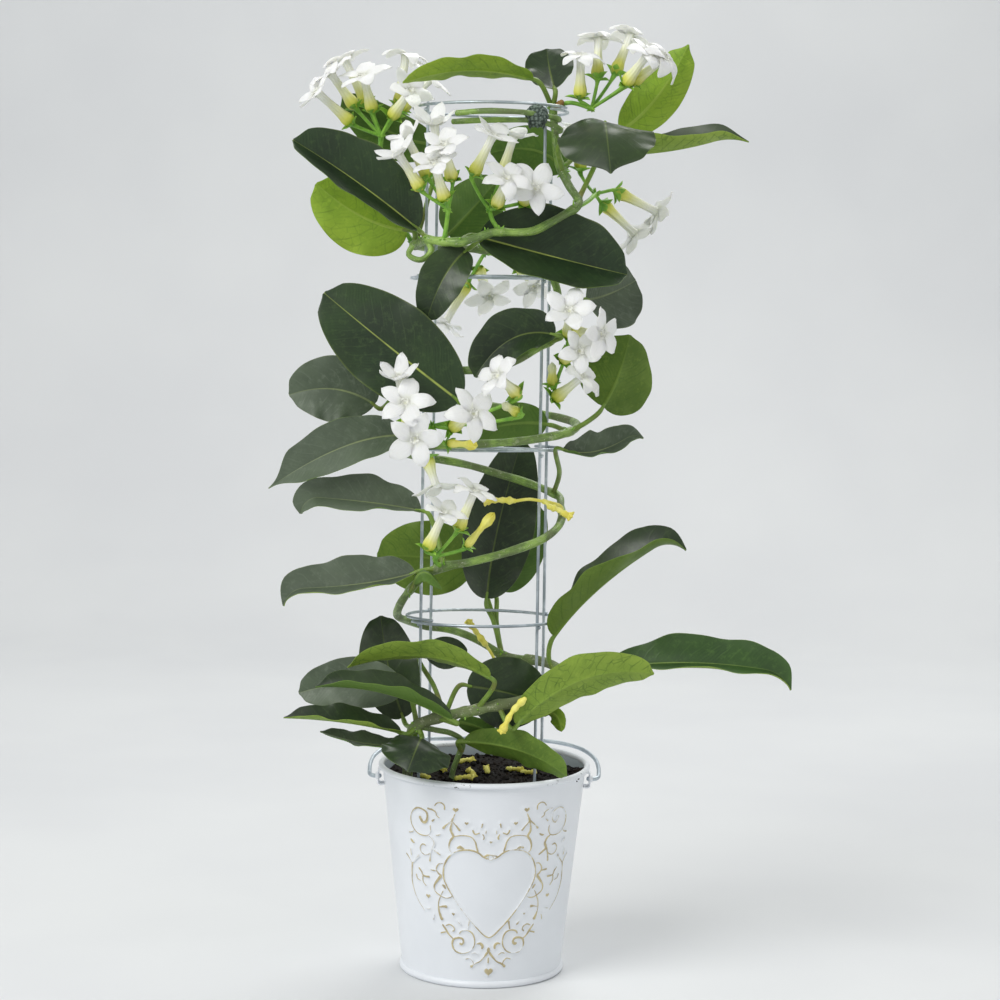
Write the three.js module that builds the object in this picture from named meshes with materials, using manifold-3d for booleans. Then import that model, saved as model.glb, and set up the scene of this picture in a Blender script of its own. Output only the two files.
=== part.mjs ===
// Madagascar jasmine twined on a wire support in a small white metal bucket.
// Millimetres, +Z up, the heart ornament of the bucket faces -Y, the origin is the centre of the
// bucket's base.
import * as THREE from "three";
import { mergeVertices } from "three/addons/utils/BufferGeometryUtils.js";
import Module from "manifold-3d";

const wasm = await Module();
wasm.setup();

// ---- Driving dimensions ----
const GAP = 0.3;

// Bucket
const BUCKET_SIDES = 30;
const FOOT_OUTER = 49.5;
const FOOT_BEAD = 2.2;
const BEAD_ROUNDING = 0.6;
const RIM_OUTER = 63.5;
const RIM_BEAD = 1.8;
const RIM_Z = 124.2;
const WALL_FOOT_Z = 5;
const WALL_FOOT_R = 48.0;
const WALL_TOP_R = 61.0;
const WALL_THICK = 1.0;
const BASE_THICK = 1.5;

// Soil
const SOIL_TOP = 118.5;
const SOIL_LUMP = 0.8;
const SOIL_SIDES = 20;
const WIRE_DEPTH_Z = 60;

// Handle and its ears
const BAIL_R = 1.25;
const BAIL_STEP = 6;
const PIVOT_Z = 116.5;
const BAIL_REACH = 63.5;
const BAIL_REST = 9.9;
const EAR_PLATE_X = 63;
const EAR_THICK = 1.0;
const EAR_LOW = 111.5;
const EAR_HIGH = 121.5;
const EAR_WIDE = 9;

// Wire support, a tower leaning back
const WIRE_R = 0.9;
const WIRE_SIDES = 6;
const LEAN = THREE.MathUtils.degToRad(3.87);
const TOWER_X = -2;
const TOWER_TURN = THREE.MathUtils.degToRad(5);
const TOWER_HALF_X = 34.5;
const TOWER_HALF_Y = 27;
const TOWER_TOP = 518;
const RING_LEVELS = [212, 313, 415, 514];
const RING_SIDES = 5;
const RING_STEPS = 20;
const TIE_R = 6.4;

// Plant
const BLADE_THICK = 0.8;
const STALK_R = 1.1;
const VINE_SIDES = 5;
const VINE_STEP = 13;
const STALK_SIDES = 4;
const STALK_STEP = 16;
const LIMB_R = 19;
const LIMB_THICK = 1.0;
const TUBE_FOOT_R = 3.5;
const TUBE_NECK_R = 2.4;
const PEDICEL_R = 1.0;
const KNOT_R = 2.6;
const CLUSTER_STALK_R = 1.4;
const BUD_HEAD_R = 3.2;
const BUD_FOOT_R = 1.9;
const BUD_STEP = 20;
const JOIN_TOLERANCE = 0.12;

// ---- Points ----
// The plant is drawn on a front elevation through the bucket's axis, seen from EYE. A point (x, z) of the
// drawing that stands y behind the elevation is moved along its own sight line.
const EYE = new THREE.Vector3(7, -1711, 490);

function at([x, z, y]) {
  const scale = 1 - y / EYE.y;
  return new THREE.Vector3(EYE.x + (x - EYE.x) * scale, y, EYE.z + (z - EYE.z) * scale);
}

// ---- Solids ----
function solid(geometry) {
  const bare = new THREE.BufferGeometry();
  bare.setAttribute("position", geometry.getAttribute("position"));
  if (geometry.index) bare.setIndex(geometry.index);
  const merged = mergeVertices(bare, 1e-3);
  const source = merged.index.array;
  const kept = [];
  for (let i = 0; i < source.length; i += 3) {
    const [a, b, c] = [source[i], source[i + 1], source[i + 2]];
    if (a !== b && b !== c && c !== a) kept.push(a, b, c);
  }
  const made = new wasm.Manifold(
    new wasm.Mesh({
      numProp: 3,
      vertProperties: merged.attributes.position.array,
      triVerts: new Uint32Array(kept),
    }),
  );
  if (made.volume() >= 0) return made;
  for (let i = 0; i < kept.length; i += 3) [kept[i + 1], kept[i + 2]] = [kept[i + 2], kept[i + 1]];
  return new wasm.Manifold(
    new wasm.Mesh({
      numProp: 3,
      vertProperties: merged.attributes.position.array,
      triVerts: new Uint32Array(kept),
    }),
  );
}

function largest(body) {
  const parts = body.decompose();
  let best = parts[0];
  for (const part of parts) {
    if (part.volume() > best.volume()) best = part;
  }
  return best;
}

function mesh(name, body, color, roughness, metalness) {
  const made = body.getMesh();
  const geometry = new THREE.BufferGeometry();
  geometry.setAttribute("position", new THREE.BufferAttribute(new Float32Array(made.vertProperties), 3));
  geometry.setIndex(new THREE.BufferAttribute(new Uint32Array(made.triVerts), 1));
  geometry.computeVertexNormals();
  const material = new THREE.MeshStandardMaterial({ color, roughness, metalness });
  material.flatShading = true;
  const result = new THREE.Mesh(geometry, material);
  result.name = name;
  return result;
}

function polygon(radius, sides) {
  const points = [];
  for (let i = 0; i < sides; i += 1) {
    const angle = (2 * Math.PI * i) / sides;
    points.push(new THREE.Vector2(radius * Math.cos(angle), radius * Math.sin(angle)));
  }
  return new THREE.Shape(points);
}

function tube(points, radius, sides, step) {
  const curve = points.length > 2 ? new THREE.CatmullRomCurve3(points) : new THREE.LineCurve3(...points);
  const steps = Math.max(1, Math.round(curve.getLength() / step));
  return solid(new THREE.ExtrudeGeometry(polygon(radius, sides), { steps, extrudePath: curve }));
}

function lathe(profile, sides) {
  const points = profile.map(([r, z]) => new THREE.Vector2(r, z));
  const geometry = new THREE.LatheGeometry(points, sides);
  geometry.rotateX(Math.PI / 2);
  return geometry;
}

// ---- Bucket ----
function wallRadius(z) {
  return WALL_FOOT_R + ((WALL_TOP_R - WALL_FOOT_R) * (z - 2 * FOOT_BEAD)) / (RIM_Z - 2 * FOOT_BEAD);
}

function bucketBody() {
  const footMid = FOOT_OUTER - FOOT_BEAD;
  const rimMid = RIM_OUTER - RIM_BEAD;
  const slant = RIM_BEAD * Math.SQRT1_2;
  const profile = [
    [0, 0],
    [footMid, 0],
    [FOOT_OUTER - BEAD_ROUNDING, BEAD_ROUNDING],
    [FOOT_OUTER, FOOT_BEAD],
    [FOOT_OUTER - BEAD_ROUNDING, 2 * FOOT_BEAD - BEAD_ROUNDING],
    [wallRadius(WALL_FOOT_Z), WALL_FOOT_Z],
    [wallRadius(RIM_Z - RIM_BEAD), RIM_Z - RIM_BEAD],
    [rimMid + slant, RIM_Z - slant],
    [RIM_OUTER, RIM_Z],
    [rimMid + slant, RIM_Z + slant],
    [rimMid, RIM_Z + RIM_BEAD],
    [rimMid - slant, RIM_Z + slant],
    [wallRadius(RIM_Z) - WALL_THICK, RIM_Z],
    [wallRadius(WALL_FOOT_Z) - WALL_THICK, BASE_THICK],
    [0, BASE_THICK],
    [0, 0],
  ];
  return solid(lathe(profile, BUCKET_SIDES));
}

function soilBody(holes) {
  const edge = wallRadius(SOIL_TOP) - WALL_THICK - 2 * GAP;
  const foot = wallRadius(WALL_FOOT_Z) - WALL_THICK - 2 * GAP;
  const profile = [
    [0, BASE_THICK + GAP],
    [foot, BASE_THICK + GAP],
    [edge, SOIL_TOP - 1],
    [edge * 0.7, SOIL_TOP],
    [edge * 0.36, SOIL_TOP + 0.5],
    [0, SOIL_TOP],
    [0, BASE_THICK + GAP],
  ];
  const geometry = lathe(profile, SOIL_SIDES);
  const spots = geometry.getAttribute("position");
  for (let i = 0; i < spots.count; i += 1) {
    const [x, y, z] = [spots.getX(i), spots.getY(i), spots.getZ(i)];
    if (z > SOIL_TOP - 2 && Math.hypot(x, y) > 1) {
      spots.setZ(i, z + SOIL_LUMP * Math.sin(x * 0.9 + 1) * Math.cos(y * 0.7));
    }
  }
  let body = solid(geometry);
  for (const hole of holes) body = body.subtract(hole);
  return body;
}

// ---- Ears and handle ----
// A sheet bracket: an outer plate held off the wall by a return above and below, with the pivot hole in
// the plate.
function earBody(side) {
  const out = EAR_PLATE_X + EAR_THICK;
  const profile = new THREE.Shape([
    new THREE.Vector2(wallRadius(EAR_LOW) + GAP, EAR_LOW),
    new THREE.Vector2(out, EAR_LOW),
    new THREE.Vector2(out, EAR_HIGH),
    new THREE.Vector2(wallRadius(EAR_HIGH) + GAP, EAR_HIGH),
    new THREE.Vector2(wallRadius(EAR_HIGH) + GAP, EAR_HIGH - EAR_THICK),
    new THREE.Vector2(EAR_PLATE_X, EAR_HIGH - EAR_THICK),
    new THREE.Vector2(EAR_PLATE_X, EAR_LOW + EAR_THICK),
    new THREE.Vector2(wallRadius(EAR_LOW) + GAP, EAR_LOW + EAR_THICK),
  ]);
  const plate = new THREE.ExtrudeGeometry(profile, { depth: EAR_WIDE, bevelEnabled: false });
  plate.rotateX(Math.PI / 2);
  plate.translate(0, EAR_WIDE / 2, 0);
  const hole = tube(
    [new THREE.Vector3(EAR_PLATE_X - 2, 0, PIVOT_Z), new THREE.Vector3(out + 2, 0, PIVOT_Z)],
    BAIL_R + GAP,
    2 * WIRE_SIDES,
    RIM_OUTER,
  );
  let body = solid(plate).subtract(hole);
  if (side < 0) body = body.mirror([1, 0, 0]);
  return body;
}

function bailBody() {
  const half = [
    [62.3, 0],
    [66.6, 0],
    [68.6, 2.5],
    [69.2, 9],
    [69.2, 20],
    [67, 34],
    [59, 49],
    [44, 59],
    [22, BAIL_REACH - 1],
  ];
  const flat = [...half, [0, BAIL_REACH], ...half.map(([x, y]) => [-x, y]).reverse()];
  const tilt = THREE.MathUtils.degToRad(BAIL_REST);
  const points = flat.map(
    ([x, y]) => new THREE.Vector3(x, y * Math.cos(tilt), PIVOT_Z + y * Math.sin(tilt)),
  );
  return tube(points, BAIL_R, WIRE_SIDES, BAIL_STEP);
}

// ---- Wire support ----
function towerCentreY(z) {
  return (z - 120) * Math.tan(LEAN);
}

function legLine(sideX, sideY) {
  const x = sideX * TOWER_HALF_X;
  const y = sideY * TOWER_HALF_Y;
  const turnedX = TOWER_X + x * Math.cos(TOWER_TURN) + y * Math.sin(TOWER_TURN);
  const turnedY = -x * Math.sin(TOWER_TURN) + y * Math.cos(TOWER_TURN);
  const low = new THREE.Vector3(turnedX, towerCentreY(WIRE_DEPTH_Z + 1) + turnedY, WIRE_DEPTH_Z + 1);
  const high = new THREE.Vector3(turnedX, towerCentreY(TOWER_TOP) + turnedY, TOWER_TOP);
  return [low, high];
}

function ringRadius() {
  return Math.hypot(TOWER_HALF_X, TOWER_HALF_Y) + 2 * WIRE_R + GAP;
}

function ringRoom(level) {
  return ringBody(level, GAP);
}

function ringBody(level, extra = 0) {
  const geometry = new THREE.TorusGeometry(ringRadius(), WIRE_R + extra, RING_SIDES, RING_STEPS);
  geometry.rotateX(-LEAN);
  geometry.translate(TOWER_X, towerCentreY(level), level);
  return solid(geometry);
}

// ---- Leaves ----
// A leaf has its base, middle and tip on the midrib; across it the two halves rise from the midrib by `fold`
// degrees and bend further by `curl`; `roll` turns the upper face from the front (0) to the back (180). From
// HOOK_START on, `hook` degrees turn the end of the blade down.
const HOOK_START = 0.82;

function leafWidth(t) {
  const round = Math.pow(Math.sin(Math.PI * Math.pow(t, 0.95)), 0.48);
  const cusp = 1 - 0.4 * THREE.MathUtils.smoothstep(t, 0.9, 1);
  return round * cusp * (1 - 0.12 * THREE.MathUtils.smoothstep(t, 0.8, 1));
}

function leafSurface(leaf) {
  const base = at(leaf.base);
  const mid = at(leaf.mid);
  const tip = at(leaf.tip);
  const bend = mid.clone().multiplyScalar(2).addScaledVector(base, -0.5).addScaledVector(tip, -0.5);
  const rib = new THREE.QuadraticBezierCurve3(base, bend, tip);
  const front = new THREE.Vector3(0, -0.99, 0.12);
  const fold = THREE.MathUtils.degToRad(leaf.fold);
  const curl = THREE.MathUtils.degToRad(leaf.curl);
  return (t, u) => {
    const along = rib.getTangent(t);
    const facing = front.clone().addScaledVector(along, -front.dot(along)).normalize();
    const across = new THREE.Vector3().crossVectors(along, facing);
    const roll = THREE.MathUtils.degToRad(leaf.roll[0] + (leaf.roll[1] - leaf.roll[0]) * t);
    const up = facing.clone().multiplyScalar(Math.cos(roll)).addScaledVector(across, Math.sin(roll));
    const side = new THREE.Vector3().crossVectors(along, up);
    const reach = (leaf.width / 2) * leafWidth(t) * Math.abs(u);
    const rise = fold + (curl * Math.abs(u)) / 2;
    const phase = 2 * Math.PI * 2.5 * t + (u < 0 ? 2 : 0);
    const lift = reach * Math.sin(rise) + leaf.wave * Math.sin(phase) * Math.abs(u) ** 3 * leafWidth(t);
    const out = reach * Math.cos(rise) * Math.sign(u);
    const beside = side.multiplyScalar(out).addScaledVector(up, lift);
    return hooked(rib, leaf.hook, t, beside);
  };
}

// A place off the midrib, with the end of the midrib bent down on an arc of the same length.
function hooked(rib, hook, t, off) {
  if (!hook || t <= HOOK_START) return rib.getPoint(t).add(off);
  const start = rib.getPoint(HOOK_START);
  const along = rib.getTangent(HOOK_START);
  const turn = THREE.MathUtils.degToRad(hook);
  const radius = start.distanceTo(rib.getPoint(1)) / turn;
  const angle = (turn * (t - HOOK_START)) / (1 - HOOK_START);
  const down = new THREE.Vector3(0, 0, -1).addScaledVector(along, along.z).normalize();
  const hinge = new THREE.Vector3().crossVectors(along, down);
  return start
    .addScaledVector(along, radius * Math.sin(angle))
    .addScaledVector(down, radius * (1 - Math.cos(angle)))
    .add(off.applyAxisAngle(hinge, angle));
}

const STATIONS = [0, 0.07, 0.24, 0.48, 0.72, 0.9, 1];
const WIDE_LANES = [-1, -0.5, 0, 0.5, 1];
const NARROW_LANES = [-1, 0, 1];
const WIDE_LEAF = 39;

function bladeBody(leaf) {
  const place = leafSurface(leaf);
  const length = at(leaf.base).distanceTo(at(leaf.tip));
  const spread = leaf.width > WIDE_LEAF ? WIDE_LANES : NARROW_LANES;
  const first = leaf.joined ? 0.004 : 0.6 / length;
  const last = 0.995;
  const step = 0.004;
  const upper = [];
  const lower = [];
  for (const station of STATIONS) {
    const t = first + (last - first) * station;
    for (const u of spread) {
      const here = place(t, u);
      const alongT = place(Math.min(t + step, 1), u).sub(place(Math.max(t - step, 0), u));
      const acrossU = place(t, Math.min(u + 0.05, 1)).sub(place(t, Math.max(u - 0.05, -1)));
      const normal = alongT.cross(acrossU).normalize();
      upper.push(here.clone().addScaledVector(normal, BLADE_THICK / 2));
      lower.push(here.clone().addScaledVector(normal, -BLADE_THICK / 2));
    }
  }
  const points = [...upper, ...lower];
  const rows = STATIONS.length;
  const lanes = spread.length;
  const shift = upper.length;
  const index = [];
  for (let row = 0; row < rows - 1; row += 1) {
    for (let lane = 0; lane < lanes - 1; lane += 1) {
      const a = row * lanes + lane;
      const b = a + 1;
      const c = a + lanes;
      const d = c + 1;
      index.push(a, b, c, b, d, c);
      index.push(a + shift, c + shift, b + shift, b + shift, c + shift, d + shift);
    }
  }
  const rim = [];
  for (let lane = 0; lane < lanes - 1; lane += 1) rim.push(lane);
  for (let row = 0; row < rows - 1; row += 1) rim.push(row * lanes + lanes - 1);
  for (let lane = lanes - 1; lane > 0; lane -= 1) rim.push((rows - 1) * lanes + lane);
  for (let row = rows - 1; row > 0; row -= 1) rim.push(row * lanes);
  for (let i = 0; i < rim.length; i += 1) {
    const a = rim[i];
    const b = rim[(i + 1) % rim.length];
    index.push(a, a + shift, b, b, a + shift, b + shift);
  }
  const geometry = new THREE.BufferGeometry().setFromPoints(points);
  geometry.setIndex(index);
  return solid(geometry);
}

// The stalk runs from the vine through its own points and meets the blade in line with the midrib.
function stalkBody(leaf) {
  const place = leafSurface(leaf);
  const base = place(0, 0);
  const along = place(0.05, 0).sub(base).normalize();
  const end = leaf.joined ? base.clone().addScaledVector(along, 3) : base;
  const before = base.clone().addScaledVector(along, -4);
  const route = [rootOnVine(leaf.stalk[0]), ...leaf.stalk.slice(1).map(at), before, end];
  return tube(route, STALK_R, STALK_SIDES, STALK_STEP);
}

function leaf(name, base, mid, tip, width, roll, fold, curl, wave, stalk, more = {}) {
  return { name, base, mid, tip, width, roll, fold, curl, wave, stalk, ...more };
}

const LEAVES = [
  leaf("leaf_crown_left", [22, 532, 2], [-16, 537, -12], [-54, 529, -22], 29, [108, 106], 5, 10, 1,
    [[34, 516, 15]]),
  leaf("leaf_crown_back", [35, 527, 12], [32, 538, 26], [30, 550, 36], 30, [0, 0], 10, 10, 1,
    [[34, 516, 15]]),
  leaf("leaf_crown_right", [74, 503, 26], [95, 523, 26], [113, 554, 22], 29, [196, 178], 8, 10, 1,
    [[40, 480, 6], [56, 494, 24]]),
  leaf("leaf_drooping_heart", [65, 508, -2], [66, 502, -30], [69, 478, -48], 58, [0, 0], -6, -12, 1.5,
    [[50, 463, -8], [60, 484, 8], [66, 500, 16]]),
  leaf("leaf_long_right", [42, 493, -4], [94, 491, -2], [149, 505, -6], 30, [-96, -62], 30, 30, 1,
    [[40, 478, 4]], { hook: 35 }),
  leaf("leaf_back_top", [42, 479, 34], [24, 491, 32], [-2, 489, 26], 31, [186, 176], 8, 10, 1,
    [[38, 482, 8]]),
  leaf("leaf_big_left", [-44, 444, -12], [-80, 471, -18], [-118, 495, -18], 48, [34, 30], 30, 12, 1,
    [[-38, 438, -18]]),
  leaf("leaf_bright_left", [-50, 443, 6], [-77, 451, 8], [-104, 470, 6], 44, [176, 184], 8, 12, 1.5,
    [[-45, 433, 4]]),
  leaf("leaf_back_left", [-34, 494, 34], [-60, 500, 34], [-89, 521, 28], 30, [190, 180], 8, 12, 1,
    [[-44, 434, 32], [-38, 462, 36]]),
  leaf("leaf_centre_back", [-26, 441, 14], [-13, 455, 16], [3, 474, 14], 36, [180, 180], 8, 10, 1,
    [[-34, 437, -10]]),
  leaf("leaf_dark_right", [-8, 440, -14], [36, 429, -14], [80, 419, -12], 58, [-28, -24], 22, 16, 1.5,
    [[-20, 437, -20]]),
  leaf("leaf_grey_right", [56, 404, 8], [70, 408, 26], [85, 416, 40], 46, [0, 10], 8, 10, 1, [[47, 392, 12]]),
  leaf("leaf_drooping_centre", [-15, 432, -18], [-28, 416, -28], [-38, 390, -26], 28, [10, 10], 10, 8, 1,
    [[-4, 441, -26]]),
  leaf("leaf_dark_left", [-18, 343, -38], [-59, 374, -36], [-99, 406, -30], 55, [8, 8], 5, 8, 1,
    [[-22, 360, -31]]),
  leaf("leaf_grey_left", [-68, 340, -16], [-92, 349, -16], [-119, 345, -14], 40, [0, 0], 8, 6, 1,
    [[-50, 352, 2], [-58, 344, -8]]),
  leaf("leaf_pointing_left", [-52, 322, -26], [-88, 314, -30], [-131, 289, -28], 33, [12, 20], 20, 16, 1.5,
    [[-46, 315, -16]]),
  leaf("leaf_wavy_upper", [-40, 277, -29], [-74, 282, -32], [-117, 285, -34], 32, [58, 22], 24, 20, 1.6,
    [[-28, 248, -39], [-32, 268, -30]], { hook: 95 }),
  leaf("leaf_round_back", [-8, 244, 68], [-35, 249, 70], [-66, 250, 64], 47, [180, 180], 6, 8, 1,
    [[10, 192, 51], [5, 211, 57], [-1, 230, 66]]),
  leaf("leaf_wavy_lower", [-42.5, 240, -38], [-80, 232, -40], [-127, 229, -40], 34, [48, 40], 24, 24, 1.4,
    [[-29, 243, -37]], { hook: 80 }),
  leaf("leaf_upright_back", [0, 225, 57], [6, 268, 62], [20, 322, 66], 46, [8, 8], 12, 14, 1,
    [[10, 192, 51], [4, 212, 54]]),
  leaf("leaf_twisted_right", [44, 315, -20], [66, 315, -16], [90, 329, -16], 24, [-50, -20], 26, 30, 2,
    [[38, 289, 44], [42, 301, 10]], { hook: 65 }),
  leaf("leaf_round_right", [67, 341, -4], [76, 360, 4], [82, 384, 12], 50, [186, 196], 14, 12, 1.5,
    [[48, 326, -14], [58, 332, -10]]),
  leaf("leaf_dark_centre", [38, 383, -34], [12, 380, -38], [-9, 357, -42], 34, [24, 14], 20, 20, 1.5,
    [[34, 379, -24]]),
  leaf("leaf_green_centre", [34, 330, -6], [14, 330, -6], [-10, 324, -8], 26, [180, 180], 8, 10, 1,
    [[46, 325, -16]]),
  leaf("leaf_fold_right", [41, 203, -18], [72, 237, -24], [117, 268, -24], 38, [-112, -52], 32, 24, 1.5,
    [[43, 174, -20], [38, 188, -18]], { hook: 75 }),
  leaf("leaf_pale_low_right", [19, 149, -52], [58, 177, -56], [101, 181, -50], 30, [-150, -146], 8, 12, 1,
    [[8, 160, -45]]),
  leaf("leaf_far_right", [74, 184, -8], [130, 188, -14], [188, 181, -16], 34, [-48, -40], 24, 30, 2,
    [[46, 178, -4]], { hook: 60 }),
  leaf("leaf_upright_left", [-49, 152, -24], [-58, 182, -22], [-63, 214, -12], 36, [4, 8], 10, 10, 1,
    [[-41, 145, -38]]),
  leaf("leaf_pale_arch", [2, 177, -56], [-38, 190, -60], [-83, 182, -54], 30, [118, 112], 8, 14, 1,
    [[-4, 157, -45]]),
  leaf("leaf_grey_low_left", [-50, 168, -33], [-80, 172, -34], [-112, 166, -30], 32, [16, 14], 10, 8, 1,
    [[-41, 147, -40]]),
  leaf("leaf_dark_low_left", [-20, 151, -58], [-60, 167, -62], [-102, 170, -60], 26, [84, 58], 30, 30, 1,
    [[-28, 152, -42]]),
  leaf("leaf_low_upper", [-50, 143, -44], [-85, 149, -54], [-121, 151, -54], 22, [66, 66], 26, 20, 1,
    [[-41, 146, -40]]),
  leaf("leaf_over_rim_left", [-38, 140, -47], [-41, 133, -62], [-46, 119, -72], 42, [15, 8], -6, -12, 2,
    [[-40, 146, -40]]),
  leaf("leaf_over_rim_right", [-12, 138, -32], [22, 133, -47], [50, 118, -62], 24, [-150, -140], 6, 16, 1,
    [[-14, 133, -24]]),
  leaf("leaf_dark_low_centre", [-11, 172, -30], [14, 168, -31], [36, 161, -29.3], 43, [0, 0], 2, 4, 0.5,
    [[-24, 155, -42]]),
];

// Small leaves that stay one with the vine.
const SMALL_LEAVES = [
  leaf("", [-44, 134, -44], [-72, 136, -47], [-99, 143, -46], 16, [62, 62], 16, 16, 1,
    [[-40, 142, -36]], { joined: true }),
  leaf("", [8, 231, 66], [20, 252, 72], [30, 282, 74], 28, [180, 180], 8, 10, 1,
    [[10, 192, 51], [6, 212, 58], [6, 224, 64]], { joined: true }),
  leaf("", [-44, 233, -42], [-37, 240, -44], [-27, 230, -46], 12, [130, 120], 10, 30, 0,
    [[-48, 229, -22]], { joined: true }),
  leaf("", [-36, 190, -6], [-24, 192, -4], [-11, 190, -2], 20, [0, 0], 8, 10, 0,
    [[-24, 154, -43], [-31, 172, -16]], { joined: true }),
  leaf("", [38, 156, -10], [43, 154, -14], [46, 145, -16], 10, [180, 180], 10, 10, 0,
    [[44, 175, -12]], { joined: true }),
  leaf("", [-16, 150, -27], [-4, 147, -24], [9, 141, -22], 11, [180, 180], 10, 10, 0,
    [[-12, 156, -44]], { joined: true }),
];

// ---- Vine ----
const LOW_VINE = [
  [-46, 98, -8], [-46, 118, -12], [-45, 136, -26], [-41, 147, -38], [-30, 152, -42], [-20, 154.5, -44],
  [-8, 157, -45], [5, 160, -45], [20, 163, -43], [34, 168.5, -37], [46, 173.5, -22], [48, 179, 0],
  [44, 183, 24], [36, 187, 40], [24, 189, 46],
];
const MIDDLE_VINE = [
  [32, 188, 44], [20, 189, 47], [10, 191, 47], [0, 197, 47], [-12, 203, 47], [-24, 206.5, 50],
  [-36, 208, 47], [-47, 211, 32], [-53, 214, 12], [-52, 220, -6], [-47, 228, -19], [-40, 236, -27],
  [-29, 243, -37], [-10, 247, -43], [5, 251, -42], [20, 256, -37], [32, 261, -29], [41, 268, -14],
  [44, 275, 4], [43, 281, 24], [42, 287, 40], [34, 291, 48], [20, 296, 50], [6, 300, 48], [-8, 304, 49],
  [-22, 307, 52], [-36, 309, 50], [-49, 311, 32], [-54, 313, 10], [-49, 315, -12], [-38, 316, -27],
  [-25, 317, -34], [-10, 317.5, -38], [5, 318.5, -38], [20, 320, -36], [32, 322, -32], [42, 324, -24],
  [50, 327, -8], [52, 330, 10], [46, 333, 32], [32, 336, 48], [10, 339, 56], [-10, 342, 57],
  [-30, 345, 52], [-46, 349, 36], [-53, 353, 12], [-49, 357, -8], [-36, 360, -24], [-20, 361, -31],
  [-5, 362, -33], [6, 364, -33], [16, 368, -32], [26, 374, -30], [36, 380, -22], [45, 386, -4],
  [48, 389, 14], [45, 393, 32], [40, 402, 46], [38, 412, 52], [32, 421, 58], [18, 428, 67],
  [2, 432, 71], [-16, 433, 69], [-32, 433, 60], [-43, 434, 42], [-46, 434.5, 22], [-45, 435, 0],
  [-38, 438, -18],
];
const TOP_VINE = [
  [-38, 438, -18], [-28, 437, -24], [-18, 437, -26], [-8, 440, -26], [2, 443, -26], [14, 443, -26],
  [24, 444, -26], [34, 449, -24], [44, 455, -20], [50, 459, -14], [50, 463, -8], [45, 470, -2],
  [40, 480, 6], [37, 490, 12], [36, 500, 15], [35, 509, 15], [34, 517, 15],
];
const SIDE_STEMS = [
  [[35, 511, 15], [38, 509, 2], [36, 510, -8], [28, 511.5, -15], [18, 513, -21], [6, 513.5, -25],
    [-6, 513.5, -25], [-22, 512, -22]],
  [[36, 502, 15], [39, 503, 0], [36, 505, -10], [26, 508, -14], [8, 508.5, -18], [-8, 508, -18],
    [-24, 507, -14]],
  [[-38, 438, -18], [-36, 431, -20], [-42, 426, -22], [-49, 429, -22], [-47, 434, -22]],
  [[-20, 100, -22], [-19, 119, -22], [-16, 128, -22], [-13, 138, -24], [-20, 143, -30], [-30, 145, -36],
    [-40, 147, -38]],
];

const STEMS = [
  { route: LOW_VINE, radius: 3.1 },
  { route: MIDDLE_VINE, radius: 2.5 },
  { route: TOP_VINE, radius: 2.4 },
  ...SIDE_STEMS.map((route) => ({ route, radius: 1.7 })),
];

function vineStems(extra) {
  const stems = STEMS.map(({ route, radius }) => tube(route.map(at), radius + extra, VINE_SIDES, VINE_STEP));
  return wasm.Manifold.union(stems);
}

// The point on the centre line of a stem nearest to a point of the drawing.
function rootOnVine(point) {
  const wanted = at(point);
  let best = null;
  for (const { route } of STEMS) {
    const line = new THREE.CatmullRomCurve3(route.map(at));
    for (const spot of line.getSpacedPoints(6 * route.length)) {
      if (!best || spot.distanceTo(wanted) < best.distanceTo(wanted)) best = spot;
    }
  }
  return best;
}

function vineBody() {
  const grown = [vineStems(0)];
  for (const item of [...LEAVES, ...SMALL_LEAVES]) grown.push(stalkBody(item));
  for (const item of SMALL_LEAVES) grown.push(bladeBody(item));
  for (const faded of FADED) grown.push(...clusterParts(faded));
  return wasm.Manifold.union(grown).simplify(JOIN_TOLERANCE);
}

// ---- Flowers ----
// A flower is a swollen tube from its calyx to a limb of five pointed lobes that faces along the tube.
const LOBES = 5;
const LOBE_EDGE = [
  { turn: -0.5, reach: 0.27 },
  { turn: -0.36, reach: 0.66 },
  { turn: 0, reach: 1 },
  { turn: 0.36, reach: 0.66 },
];

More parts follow.
